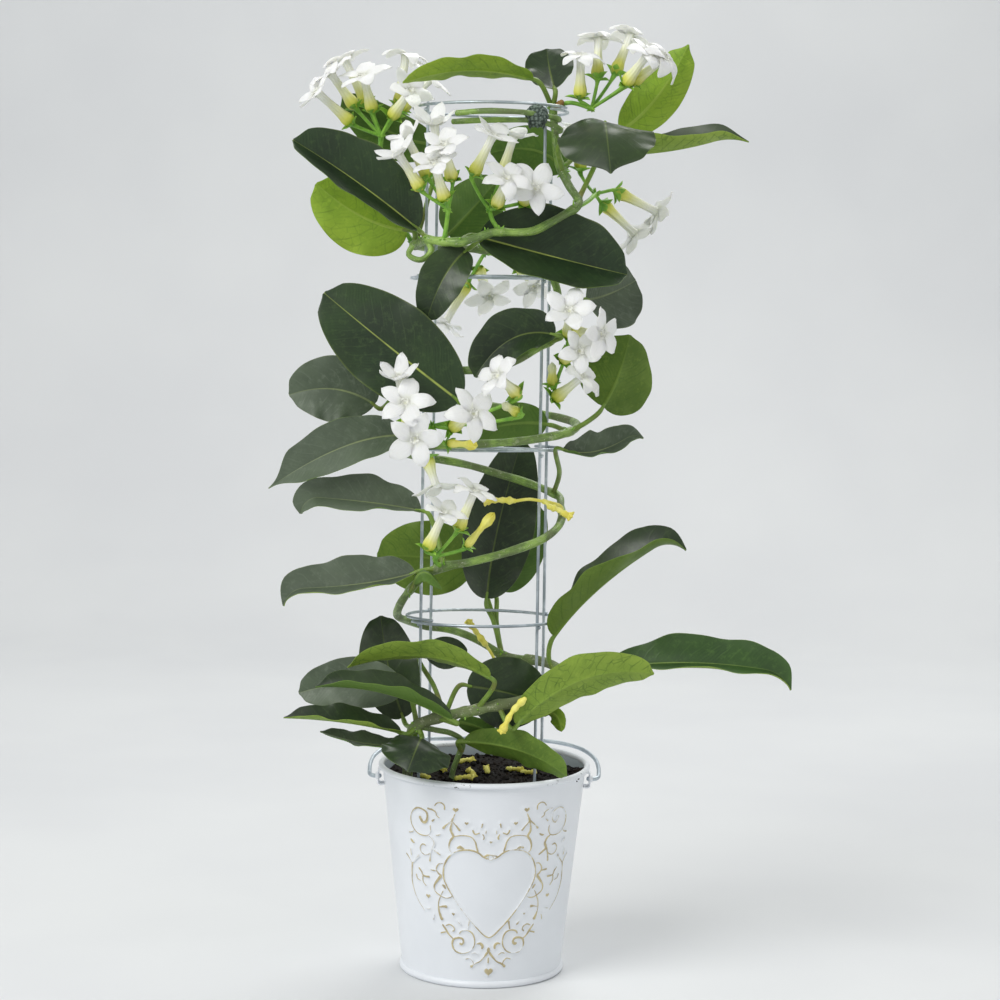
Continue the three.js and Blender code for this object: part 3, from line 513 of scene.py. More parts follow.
def draw_zinc(w: Wiring, given: Inputs) -> tuple:
    """Zinc coating with faint crystals, dull patches and fine drawing lines.

    Args:
        w: the wiring of the node group.
        given: its input sockets.

    Returns:
        Colour, roughness and height.
    """
    place = w.place()
    crystals = w.add("ShaderNodeTexVoronoi", {"Vector": place, "Scale": 260}).outputs["Color"]
    tint = w.add("ShaderNodeSeparateColor", {0: crystals}).outputs[0]
    dull = w.noise(place, 45, 4)
    colour = w.mix(w.band(dull, 0.4, 0.7, 0, 0.8), w.mix(tint, given["Bright"], given["Zinc"]), given["Dull"])
    return colour, w.band(w.plus(dull, w.times(tint, 0.3)), 0.4, 0.95, 0.3, 0.52), tint


def draw_peat(w: Wiring, given: Inputs) -> tuple:
    """Dark peat with lighter crumbs, fibres and damp patches.

    Args:
        w: the wiring of the node group.
        given: its input sockets.

    Returns:
        Colour, roughness and height.
    """
    place = w.place()
    coarse = w.noise(place, 110, 6, 0.7)
    fine = w.noise(place, 700, 5, 0.7)
    dark = w.mix(w.band(coarse, 0.35, 0.68), given["Peat"], given["Brown"])
    bits = w.plus(w.band(fine, 0.6, 0.7, 0, 0.6), w.times(w.mark("tone")[0], 0.5))
    height = w.plus(coarse, w.times(fine, 0.5))
    return w.mix(bits, dark, given["Crumb"]), w.band(coarse, 0.3, 0.7, 0.72, 0.98), height


def draw_fibre(w: Wiring, given: Inputs) -> tuple:
    """Strands laid side by side round a string, darker down in the grooves between them as painted shade, with
    stray pale fibres.

    Args:
        w: the wiring of the node group.
        given: its input sockets.

    Returns:
        Colour, roughness and height.
    """
    along, around, _ = w.mark("lay")
    twist = w.math("SINE", w.plus(w.times(along, 2.4), w.times(around, 25.1)))
    fray = w.noise(w.place(), 900, 4, 0.7)
    # Painted shade: the colour goes to Deep where the strands dip into their grooves, following the height.
    colour = w.mix(w.plus(w.band(twist, -1, 1, 0, 0.7), w.times(fray, 0.4)), given["Deep"], given["String"])
    return colour, w.band(fray, 0.3, 0.7, 0.75, 0.95), w.plus(twist, fray)


def draw_stem(w: Wiring, given: Inputs) -> tuple:
    """Green stem that turns woody in long patches, with streaks and pale pores.

    Args:
        w: the wiring of the node group.
        given: its input sockets.

    Returns:
        Colour, roughness and height.
    """
    along, around, age = w.mark("bark")
    place = w.place()
    streaks = w.noise(w.vector(w.times(along, 0.05), w.times(around, 3.0)), 4.0, 5, 0.65)
    patches = w.noise(place, 52, 5, 0.62)
    woody = w.band(w.plus(patches, w.times(age, 0.45)), 0.5, 0.82)
    mottled = w.band(w.plus(w.times(streaks, 0.5), w.times(patches, 0.5)), 0.38, 0.58)
    colour = w.mix(woody, w.mix(mottled, given["Green"], given["Deep"]), given["Woody"])
    warts = w.times(w.band(w.noise(place, 210, 5, 0.7), 0.56, 0.64), w.band(age, 0.0, 0.6, 0.15, 0.6))
    pores = w.plus(w.band(w.noise(place, 750, 2), 0.66, 0.73), warts)
    colour = w.mix(w.math("MINIMUM", w.times(pores, 0.7), 0.8), colour, given["Pore"])
    return colour, w.band(woody, 0, 1, 0.42, 0.8), w.plus(w.times(streaks, 0.6), pores)


def draw_blade(w: Wiring, given: Inputs) -> tuple:
    """Leaf skin with a fine midrib, side veins that bend to the tip, net veins and soft mottling.

    Args:
        w: the wiring of the node group.
        given: its input sockets.

    Returns:
        Colour, roughness and height.
    """
    run, out, room = w.mark("blade")
    tip = w.mark("tip")[0]
    place = w.place()
    far = w.math("ABSOLUTE", out)
    inward = w.math("DIVIDE", far, w.plus(room, 0.1))
    wander = w.times(w.minus(w.noise(place, 45, 2), 0.5), 9.0)
    slim = w.times(given["Rib width"], w.band(tip, 0.0, 1.0, 1.25, 0.45))
    rib = w.times(w.band(w.math("DIVIDE", far, slim), 0.4, 1.0, 1.0, 0.0), w.band(tip, 0.3, 1.0, 1.0, 0.4))
    rib = w.times(rib, w.band(w.noise(place, 60, 2), 0.3, 0.6, 0.6, 1.0))
    swept = w.minus(w.plus(run, wander), w.times(w.math("POWER", far, 1.2), 0.5))
    cycle = w.math("PINGPONG", w.plus(swept, 60.0), 3.6)
    vein = w.times(w.band(cycle, 0.1, 0.75, 1.0, 0.0), w.band(inward, 0.1, 0.35))
    vein = w.times(vein, w.band(inward, 0.7, 0.96, 1.0, 0.0))
    vein = w.times(vein, w.band(w.noise(place, 90, 2), 0.35, 0.6, 0.15, 1.0))
    fine = w.band(w.math("PINGPONG", w.plus(w.times(swept, 2.9), 60.0), 3.6), 0.2, 2.4, 1.0, 0.0)
    fine = w.times(fine, w.band(w.noise(place, 70, 2), 0.4, 0.62, 0.0, 0.55))
    flat = w.vector(w.plus(run, w.times(wander, 0.5)), out)
    cells = w.add("ShaderNodeTexVoronoi", {"Vector": flat, "Scale": 0.21}, feature="DISTANCE_TO_EDGE")
    net = w.band(cells.outputs["Distance"], 0.01, 0.07, 1.0, 0.0)
    net = w.times(net, w.band(w.noise(place, 120, 3), 0.38, 0.6))
    clouds = w.noise(place, 34, 5, 0.62)
    flush = w.plus(w.band(w.noise(place, 11, 2), 0.42, 0.68), w.band(inward, 0.25, 1.0, 0.0, 0.35))
    colour = given["Skin"]
    for share, over in (
            (w.band(clouds, 0.36, 0.66), "Shade"), (fine, "Shade"),
            (w.band(w.noise(place, 260, 4, 0.7), 0.5, 0.7, 0.0, 0.45), "Flush"),
            (w.times(flush, given["Flush share"]), "Flush"), (w.times(net, given["Net share"]), "Net"),
            (w.times(vein, given["Vein share"]), "Vein"),
            (w.times(w.band(inward, 0.955, 0.995), given["Rim share"]), "Rib"),
            (w.times(rib, given["Rib share"]), "Rib")):
        colour = w.mix(share, colour, given[over])
    dust = w.times(w.noise(place, 60, 5, 0.7), 0.4)
    rough = w.plus(given["Gloss"], w.band(w.plus(clouds, dust), 0.5, 0.95, -0.08, 0.16))
    height = w.plus(w.times(w.noise(place, 1100, 3), 0.2), w.times(clouds, 0.5))
    return colour, rough, w.minus(height, w.times(vein, given["Vein depth"]))


def draw_petal(w: Wiring, given: Inputs) -> tuple:
    """Waxy petal, tinted cream-green near the throat, partly its own tint and partly painted shade where the
    lobes dip into the throat, with faint lengthwise veins and soft bruises.

    Args:
        w: the wiring of the node group.
        given: its input sockets.

    Returns:
        Colour, roughness and height.
    """
    out, across, sheen = w.mark("petal")
    place = w.place()
    lines = w.noise(w.vector(w.times(out, 1.2), w.times(across, 9), sheen), 2.2, 3)
    clouds = w.noise(place, 90, 3)
    colour = w.mix(w.band(clouds, 0.4, 0.75, 0, 0.6), given["White"], given["Cream"])
    colour = w.mix(w.band(lines, 0.52, 0.7, 0, 0.35), colour, given["Vein"])
    # Near the throat the lobes take a cream-green colour: partly the flower's own tint, partly painted shade
    # where they dip in.
    colour = w.mix(w.band(out, 0.0, 0.3, 0.75, 0.0), colour, given["Throat"])
    height = w.plus(w.times(lines, 0.6), w.times(w.noise(place, 500, 2), 0.4))
    return colour, w.band(clouds, 0.3, 0.7, 0.36, 0.5), height


def draw_flower_tube(w: Wiring, given: Inputs) -> tuple:
    """Flower tube that goes from yellow-green at its swollen foot through cream to white, with fine ribs.

    Args:
        w: the wiring of the node group.
        given: its input sockets.

    Returns:
        Colour, roughness and height.
    """
    out, across, _ = w.mark("petal")
    ribs = w.math("SINE", w.times(across, 62.8))
    clouds = w.noise(w.place(), 120, 3)
    level = w.plus(out, w.times(w.minus(clouds, 0.5), 0.25))
    colour = w.mix(w.band(level, 0.0, 0.2), given["Foot"], given["Yellow"])
    colour = w.mix(w.band(level, 0.14, 0.5), colour, given["Cream"])
    colour = w.mix(w.band(level, 0.45, 0.85), colour, given["White"])
    colour = w.mix(w.band(ribs, 0.2, 1, 0, 0.12), colour, given["Foot"])
    return colour, w.band(clouds, 0.3, 0.7, 0.4, 0.52), ribs


def draw_flesh(w: Wiring, given: Inputs) -> tuple:
    """Fresh or withered flesh of calyx, pedicel and florets, with darker tips and fine streaks.

    Args:
        w: the wiring of the node group.
        given: its input sockets.

    Returns:
        Colour, roughness and height.
    """
    place = w.place()
    clouds = w.noise(place, 160, 4)
    streaks = w.noise(place, 620, 3)
    colour = w.mix(w.band(clouds, 0.35, 0.68), given["Flesh"], given["Deep"])
    tips = w.times(w.band(w.mark("flesh")[0], 0.55, 1.0), given["Tip share"])
    return w.mix(tips, colour, given["Tip"]), w.band(streaks, 0.3, 0.7, 0.42, 0.62), w.plus(streaks, clouds)


SHEET = Effect("painted sheet", {"Paint": "#e9edf2", "Dust": "#dde1e6", "Primer": "#4a4a48"}, draw_painted_sheet)
GOLD = Effect("rubbed gold", {"Gold": "#cabd92", "Brown": "#aa9d7b", "Paint": "#e6eaee"}, draw_rubbed_gold)
ZINC = Effect("zinc", {"Bright": "#d3dce2", "Zinc": "#b7c2ca", "Dull": "#9aa6ae"}, draw_zinc)
PEAT = Effect("peat", {"Peat": "#110e0c", "Brown": "#201812", "Crumb": "#4c3f34"}, draw_peat)
# Deep is the string's colour in the grooves between strands, painted shade.
FIBRE = Effect("laid fibre", {"Deep": "#2f3a33", "String": "#77857c"}, draw_fibre)
STEM_SKIN = Effect(
    "stem skin", {"Green": "#9aba5c", "Deep": "#4f7130", "Woody": "#717c55", "Pore": "#d3d8ba"}, draw_stem)
LEAF_SKIN = Effect("leaf skin", {
    "Skin": "#27392a", "Shade": "#1d2c21", "Flush": "#3c5034", "Rib": "#a8b56a", "Vein": "#43631f",
    "Net": "#4a6a26", "Gloss": 0.56, "Rib share": 0.9, "Rib width": 1.0, "Vein share": 0.3, "Net share": 0.05,
    "Rim share": 0.15, "Flush share": 0.5, "Vein depth": -0.3}, draw_blade)
WAX = Effect(
    "waxy petal", {"White": "#fdfdfb", "Cream": "#f8f9f5", "Vein": "#eceee8", "Throat": "#ebeed8"}, draw_petal)
TUBE_WAX = Effect("flower tube", {
    "Foot": "#b9c640", "Yellow": "#dcdc62", "Cream": "#eff1c9", "White": "#f6f7ee"}, draw_flower_tube)
FLESH = Effect(
    "green flesh", {"Flesh": "#8cbf45", "Deep": "#68a033", "Tip": "#a8cf50", "Tip share": 0.5}, draw_flesh)
SUBSURFACE_RADIUS = (1.0, 0.95, 0.8)

BUCKET_PAINT = Finish("bucket paint", SHEET, 0.06, shader={"Coat Weight": 0.15, "Coat Roughness": 0.3})
# The same white paint made greyer and darker for the inside wall: painted shade inside the bucket under the rim.
INNER_PAINT = Finish("inner paint", SHEET, 0.06, {"Paint": "#b9c3cb", "Dust": "#a6b0b8"})
ORNAMENT_GOLD = Finish("ornament gold", GOLD, 0.05)
WIRE_ZINC = Finish("wire zinc", ZINC, 0.03, shader={"Metallic": 0.6})
SOIL_PEAT = Finish("soil", PEAT, 1.2, shader={"Specular IOR Level": 0.25})
STRING = Finish("string", FIBRE, 0.2, shader={"Specular IOR Level": 0.2})
STEM = Finish("stem skin", STEM_SKIN, 0.15)
PETIOLE = Finish("petiole skin", STEM_SKIN, 0.1, {
    "Green": "#86a243", "Deep": "#64842f", "Woody": "#7d7440", "Pore": "#a9ad6a"})
SCAR = Finish("scar bark", STEM_SKIN, 0.25, {
    "Green": "#8a9a44", "Deep": "#6f7a34", "Woody": "#93713c", "Pore": "#d0a45c"})
PETAL = Finish("waxy petal", WAX, 0.3, shader={
    "Subsurface Weight": 0.5, "Subsurface Scale": 0.006, "Subsurface Radius": SUBSURFACE_RADIUS})
TUBE = Finish("flower tube", TUBE_WAX, 0.08, shader={
    "Subsurface Weight": 0.2, "Subsurface Scale": 0.004, "Subsurface Radius": SUBSURFACE_RADIUS})
CALYX = Finish("calyx green", FLESH, 0.08)
WITHERED = Finish("withered yellow", FLESH, 0.4, {
    "Flesh": "#f5ef80", "Deep": "#ebe25c", "Tip": "#e0cd52", "Tip share": 0.4})


class Upper(Enum):
    """Looks of a leaf's upper face: skin, cloud, flush, rib, gloss, how much the midrib shows. One of them is
    the dark upper face with the bright sky's grey-green reflection painted into its colours: painted sheen.
    """

    DARK = ("#2b3c24", "#1c2a19", "#42552f", "#76873f", 0.36, 0.5)
    RIBBED = ("#2c3f27", "#1d2c1b", "#435832", "#a8b65a", 0.36, 0.95)
    # Painted sheen: the dark upper face made grey-green as if it reflected the bright sky.
    GREY = ("#54624c", "#414e3c", "#6b7765", "#929e68", 0.48, 0.6)
    LEAFY = ("#3c592c", "#2b4522", "#56773a", "#88a04f", 0.38, 0.7)
    FRESH = ("#4f7a27", "#3d6521", "#6f9535", "#a9bd5a", 0.42, 0.7)


class Under(Enum):
    """Looks of a leaf's lower face: skin, cloud, flush, rib, net share, how much the midrib shows. Two of them
    are the same underside in different light: a darker copy as painted shade and a brighter lime copy as painted
    backlight.
    """

    # Painted shade: a darker copy of the underside for leaves at the back and faces turned away from the light.
    MID = ("#55752e", "#466428", "#678537", "#86a04c", 0.3, 0.5)
    PALE = ("#7f9b38", "#6c892f", "#94ab45", "#8fa84e", 0.75, 0.25)
    LUSH = ("#5f7b2b", "#4b6621", "#738d36", "#86a045", 0.5, 0.4)
    # Painted light: a brighter lime copy of the underside for leaves lit through from behind.
    BRIGHT = ("#82a52c", "#6a8c25", "#9fb93c", "#a9bf58", 0.35, 0.5)


@cache
def leaf_face(tone: Upper | Under) -> Finish:
    """The finish of one face of a leaf.

    Args:
        tone: which face it is, and its look.

    Returns:
        The finish, the same one for each leaf that has it.
    """
    skin, shade, flush, rib, part, share = tone.value
    values = {"Skin": skin, "Shade": shade, "Flush": flush, "Rib": rib, "Rib share": share}
    if isinstance(tone, Under):
        values |= {"Vein share": 0.15 + 0.6 * part, "Net share": 0.8 * part}
        return Finish(f"leaf under {tone.name.lower()}", LEAF_SKIN, 0.16, values, {"Specular IOR Level": 0.3})
    values |= {"Vein": flush, "Net": shade, "Gloss": part, "Rib width": 0.75, "Rim share": 0.16,
               "Flush share": 0.35, "Vein depth": 0.22}
    return Finish(f"leaf upper {tone.name.lower()}", LEAF_SKIN, 0.16, values, {"Specular IOR Level": 0.42})


# ---- Bucket ----
def wall_radius(z: Number) -> Number:
    """Outer radius of the bucket's wall at a height."""
    return WALL_FOOT_R + (WALL_TOP_R - WALL_FOOT_R) * (z - 2 * FOOT_BEAD) / (RIM_Z - 2 * FOOT_BEAD)


@dataclass(frozen=True)
class Heart:
    """A small raised heart of the ornament, with its middle (across, height) and its width."""

    middle: tuple[float, float]
    width: float

    def edge(self, count: int) -> Array:
        """Its outline as points (across, height)."""
        t = np.linspace(0, TURN, count, endpoint=False)
        z = (13 * np.cos(t) - 5 * np.cos(2 * t) - 2 * np.cos(3 * t) - np.cos(4 * t)) / 16
        return np.stack([np.sin(t) ** 3, z * 0.95], axis=1) * self.width / 2 + self.middle


@dataclass(frozen=True)
class FrontView:
    """The square front view that the ornament is set out on.

    A point on it is (right, down) from a corner of its own, enlarged.
    """

    wide: float = 1000.0
    corner: tuple[float, float] = (390.0, 790.0)
    enlarged: float = 7.84
    nearest: float = 1500.0
    farthest: float = 1760.0
    step: float = 0.25

    def cast(self, points: Array) -> tuple[Array, Array]:
        """Follows the sight lines through points of the view until they meet the bucket's wall.

        Args:
            points: rows of (right, down).

        Returns:
            The angle from the front and the height of each place that they meet.
        """
        flat = (points / self.enlarged + self.corner - self.wide / 2) / (self.wide * LENS / FILM)
        tilt, fall = math.radians(TILT), math.radians(LOOK_DOWN)
        right = flat[:, 0] * math.cos(tilt) + flat[:, 1] * math.sin(tilt)
        up = flat[:, 0] * math.sin(tilt) - flat[:, 1] * math.cos(tilt)
        back, high = math.cos(fall) + up * math.sin(fall), up * math.cos(fall) - math.sin(fall)
        way = np.stack([right, back, high], axis=1)
        reach = np.arange(self.nearest, self.farthest, self.step)[:, None, None]
        x, y, z = np.moveaxis(EYE + way * reach, -1, 0)
        met = (np.hypot(x, y) <= wall_radius(z)).argmax(axis=0)
        x, y, z = (EYE + way * (reach[met, 0] - self.step / 2)).T
        return np.arctan2(x, -y), z


@dataclass
class Ornament:
    """Heart and scrolls embossed on the bucket's front, drawn once and mirrored about their axis."""

    view: FrontView = FrontView()
    decimals: int = 1
    axis: float = math.radians(4.9)
    measured_at: float = 55.0
    line_height: float = 0.5
    swell_height: float = 0.42
    swell_reach: float = 1.3
    broad: float = 1.5
    ring_middle: tuple[float, float] = (0.0, 81.0)
    ring_radius: float = 1.5
    foot_lift: float = 0.1

    def lines(self) -> list[tuple[Array, Array]]:
        """Every raised line of both halves, and the small ring on the axis.

        Returns:
            For each line its points (across, height) and their half widths.
        """
        found = []
        for row in STROKES.values():
            widths, points = np.split(np.array(row), [3])
            turn, height = self.view.cast(points.reshape(-1, 2))
            route = np.stack([(turn - self.axis) * self.measured_at, height], axis=1)
            route = smooth_line(np.round(route, self.decimals), 0.45)
            half = np.interp(np.linspace(0, 1, len(route)), [0, 0.5, 1], widths) / 2 * self.broad
            found += [(route * [side, 1], half) for side in (1, -1)]
        turn = np.linspace(0, TURN, 30)
        ring = np.stack([np.cos(turn), np.sin(turn)], axis=1) * self.ring_radius + self.ring_middle
        return [*found, (ring, np.full(30, 0.35))]

    def hearts(self) -> list[Heart]:
        """Every small heart, both halves and the two on the axis."""
        twins = [Heart((s * x, z), width) for x, z, width in HEARTS for s in (1, -1)]
        return [*twins, Heart((0.0, 90.6), 2.6), Heart((0.3, 10.6), 7.0)]

    def on_wall(self, flat: Array, lift: Number) -> Array:
        """Places on the wall of points (across, height), lifted off it."""
        turn = flat[..., 0] / self.measured_at + self.axis
        return round_axis(wall_radius(flat[..., 1]) + lift, flat[..., 1], turn)

    def swell(self, across: Array, height: Array) -> Array:
        """How far the sheet stands out near the lines.

        Args:
            across: the way along the wall from the ornament's axis, for each place.
            height: the height of each place.

        Returns:
            How far each place is lifted.
        """
        routes = [route[::2] for route, _ in self.lines()]
        marks = np.vstack([*routes, *[heart.edge(14) for heart in self.hearts()]])
        nearest = np.full(across.shape, 99.0)
        for start in range(0, len(marks), 200):
            part = marks[start:start + 200]
            gap = np.hypot(across[..., None] - part[:, 0], height[..., None] - part[:, 1]).min(axis=-1)
            nearest = np.minimum(nearest, gap)
        return self.swell_height * np.exp(-(nearest / self.swell_reach) ** 2)

    def build(self) -> None:
        """Makes the raised lines and hearts."""
        sketch = Sketch()
        for route, half in self.lines():
            self._line(sketch, route, half)
        for heart in self.hearts():
            self._heart(sketch, heart)
        sketch.make("ornament", [ORNAMENT_GOLD], ("bucket",), "white_paint")

    def _raised(self, crest: Array, share: Number) -> Array:
        """How far a line stands off the wall where its crest mark has a value; its rim sinks in."""
        return self.swell_height * 0.75 + crest * self.line_height * share

    def _line(self, sketch: Sketch, route: Array, half: Array) -> None:
        """Adds one raised line, round across and tapered at its ends.

        Args:
            sketch: the piece that it joins.
            route: its points (across, height).
            half: its half width at each point.
        """
        turn = np.linspace(-math.pi / 2, math.pi / 2, 7)
        along = unit(np.gradient(route, axis=0))
        square = np.stack([-along[:, 1], along[:, 0]], axis=1)
        order = np.arange(len(route))
        width = half * np.minimum(1, np.minimum(order, order[::-1]) / 1.2 + 0.25)
        flat = route[:, None] + square[:, None] * (np.sin(turn)[None, :] * width[:, None])[..., None]
        crest = np.cos(turn)[None, :] * np.ones(len(route))[:, None]
        lift = self._raised(crest, np.clip(width / 0.45, 0.5, 1.1)[:, None])
        lift[:, [0, -1]] = self.foot_lift
        sketch.sheet(self.on_wall(flat, lift), back=True, crest=crest)

    def _heart(self, sketch: Sketch, heart: Heart) -> None:
        """Adds one raised heart.

        Args:
            sketch: the piece that it joins.
            heart: where it is and how wide.
        """
        rings = np.array([1.0, 0.93, 0.72, 0.4, 0.12])
        edge = heart.edge(28)
        count = len(edge)
        flat = np.array(heart.middle) + (edge - heart.middle) * rings[:, None, None]
        crest = np.sqrt(np.clip(1.02 - rings ** 2, 0, 1))[:, None] * np.ones(count)
        lift = self._raised(crest, 1.1)
        lift[0] = self.foot_lift
        sketch.sheet(self.on_wall(flat, lift), ring=True, crest=crest)
        middle = self.on_wall(np.array([heart.middle]), lift[-1, 0] + 0.01)
        fan = np.array([[i, (i + 1) % count, count] for i in range(count)])
        sketch.add(np.vstack([self.on_wall(flat[-1], lift[-1]), middle]), fan, crest=np.full(count + 1, 1.0))


@dataclass
class Bucket:
    """Conical sheet-metal bucket with a rolled rim, a rolled foot and a lapped seam at the back."""

    ornament: Ornament
    wall_thick: float = 1.0
    base_thick: float = 1.5
    foot_outer: float = 49.5
    front_half: float = 1.12
    wall_low: float = 7
    wall_high: float = 119
    seam_turn: float = math.radians(184)
    seam_lift: float = 0.45
    dent: float = 0.12

    def build(self) -> None:
        """Makes the bucket and its ornament."""
        sketch = Sketch()
        turns = self._turns()
        outer, edge = self._outer_profile()
        height = widened(outer[:, 1], len(turns))
        radius = outer[:, :1] + self._lift(turns, outer[:, :1], height)
        sketch.sheet(round_axis(radius, height, turns), ring=True, edge=widened(edge, len(turns)))
        inner = self._inner_profile()
        coarse = np.linspace(0, TURN, 120, endpoint=False)
        # The inside wall takes the greyer, darker inner paint: painted shade under the rim.
        sketch.sheet(round_axis(inner[:, :1], inner[:, 1:], coarse), 1, ring=True)
        sketch.make("bucket_sheet", [BUCKET_PAINT, INNER_PAINT], ("bucket",), "white_paint")
        self.ornament.build()

    def _turns(self) -> Array:
        """Angles round the bucket, close together over the ornament."""
        far = np.linspace(self.front_half, TURN - self.front_half, 92)[1:-1]
        return np.concatenate([np.linspace(-self.front_half, self.front_half, 240), far]) + self.ornament.axis

    def _lift(self, turns: Array, radius: Array, height: Array) -> Array:
        """How far the sheet stands out from its plain form: at the ornament, the seam and soft dents.

        Args:
            turns: the angles of the columns.
            radius: the plain radius of each row.
            height: the height of each place.

        Returns:
            The lift of each place.
        """
        across = (turns + math.pi - self.ornament.axis) % TURN - math.pi
        wall = (height > self.wall_low) & (height < self.wall_high) & (np.abs(across) < self.front_half)[None, :]
        wall &= radius > wall_radius(self.wall_low) - 1
        places = np.broadcast_to(across * self.ornament.measured_at, height.shape)
        lift = np.zeros_like(height)
        lift[wall] = self.ornament.swell(places[wall], height[wall])
        seam = np.abs((turns - self.seam_turn + math.pi) % TURN - math.pi) * 55
        on_wall = ease(5, 7, height) * (1 - ease(120, 122, height))
        lift += self.seam_lift * np.exp(-(seam / 1.6) ** 4)[None, :] * on_wall
        return lift + self.dent * np.sin(turns * 3 + 0.8)[None, :] * np.sin(height / 40) * on_wall

    def _outer_profile(self) -> tuple[Array, Array]:
        """The outside, from the base's middle over the foot bead and the wall to the rim's inside.

        Returns:
            Radius and height of each row, and how much of an edge it is.
        """
        turn = np.linspace(-math.pi / 2, math.pi / 2, 11)
        bead_mid = self.foot_outer - FOOT_BEAD
        foot = np.stack([bead_mid + FOOT_BEAD * np.cos(turn), FOOT_BEAD + FOOT_BEAD * np.sin(turn)], axis=1)
        foot[-1] = [wall_radius(5.0) + 0.05, 4.6]
        heights = np.concatenate(
            [[5.0, 6.0], np.linspace(self.wall_low, self.wall_high, 176), [120.5, 121.6, 122.3]])
        wall = np.stack([wall_radius(heights), heights], axis=1)
        roll = np.linspace(-0.85, math.pi + 0.55, 18)
        rim_mid = RIM_OUTER - RIM_BEAD
        rim = np.stack([rim_mid + RIM_BEAD * np.cos(roll), RIM_Z + RIM_BEAD * np.sin(roll)], axis=1)
        base = np.array([[0.02, 1.0], [30, 1.0], [bead_mid - 3, 0.9], [bead_mid - 1.2, 0.15]])
        edge = [np.zeros(4), np.full(11, 0.62), 0.45 * (1 - ease(5, 12, heights)), np.full(18, 0.86)]
        return np.vstack([base, foot, wall, rim]), np.concatenate(edge)

    def _inner_profile(self) -> Array:
        """The inside, from the rim down to the middle of the floor.

        Returns:
            Radius and height of each row.
        """
        top = [RIM_OUTER - RIM_BEAD - RIM_BEAD * 0.86, RIM_Z - RIM_BEAD * 0.5]
        heights = np.array([121.0, 117.0, 90.0, 60.0, 30.0, 6.0, 2.0])
        wall = np.stack([wall_radius(heights) - self.wall_thick, heights], axis=1)
        return np.vstack([[top], wall, [[wall_radius(2) - 4, self.base_thick], [0.02, self.base_thick]]])


@dataclass
class Ears:
    """The two brackets under the rim that hold the handle, with the collars round its ends."""

    plate_x: float = 63.0
    sheet: float = 1.0
    low: float = 111.5
    high: float = 121.5
    wide: float = 9.0

    def build(self) -> None:
        """Makes both brackets."""
        for name, side in (("left", -1), ("right", 1)):
            self._bracket(name, side)

    def _bracket(self, name: str, side: int) -> None:
        """Makes the bracket on one side.

        Args:
            name: the side's name.
            side: 1 on the right, -1 on the left.
        """
        sketch = Sketch()
        out = self.plate_x + self.sheet
        path = smooth_line([
            [wall_radius(self.low) + 0.1, self.low + 0.5], [out - 1.4, self.low + 0.5],
            [out - 0.6, self.low + 1.0], [out - 0.5, self.low + 1.9], [out - 0.5, self.high - 1.9],
            [out - 0.6, self.high - 1.0], [out - 1.4, self.high - 0.5],
            [wall_radius(self.high) + 0.1, self.high - 0.5]], 0.5)
        away = np.gradient(path, axis=0)
        away = unit(np.stack([away[:, 1], -away[:, 0]], axis=1)) * self.sheet / 2
        ring = np.vstack([path + away, (path - away)[::-1]])
        centre = np.vstack([path, path[::-1]])
        middle = (self.low + self.high) / 2
        rows = []
        for depth, share in ((-0.5, 0.0), (-0.47, 0.85), (-0.3, 1.0), (0.3, 1.0), (0.47, 0.85), (0.5, 0.0)):
            flat = centre + (ring - centre) * max(share, 0.02)
            high = middle + (flat[:, 1] - middle) * (1 - 0.1 * (1 - share))
            rows.append(np.stack([side * flat[:, 0], np.full(len(flat), depth * self.wide), high], axis=1))
        sketch.sheet(np.array(rows), ring=True, back=side > 0, edge=np.full((len(rows), len(ring)), 0.75))
        collar = np.array([[side * (out - 0.3), 0, PIVOT_Z], [side * (out + 0.35), 0, PIVOT_Z]])
        sketch.tube(collar, BAIL_R + 0.9, 18, edge=np.full(2, 0.9))
        sketch.make(f"bracket_{name}", [BUCKET_PAINT], (f"ear_{name}",), "white_paint", crease=35)


@dataclass
class Handle:
    """Wire handle folded back on the rim, its ends hooked through the brackets."""

    half: tuple[tuple[float, float], ...] = (
        (62.3, 0), (66.6, 0), (68.6, 2.5), (69.2, 9), (69.2, 20), (67, 34), (59, 49), (44, 59), (22, 62.5))
    reach: float = 63.5

    def build(self) -> None:
        """Makes the handle."""
        flat = [*self.half, (0, self.reach), *[(-x, y) for x, y in reversed(self.half)]]
        points = [(x, y * math.cos(BAIL_REST), PIVOT_Z + y * math.sin(BAIL_REST)) for x, y in flat]
        sketch = Sketch()
        sketch.tube(smooth_line(points, 1.2), BAIL_R, 16)
        sketch.make("handle_wire", [WIRE_ZINC], ("bail",), "wire", body="handle")


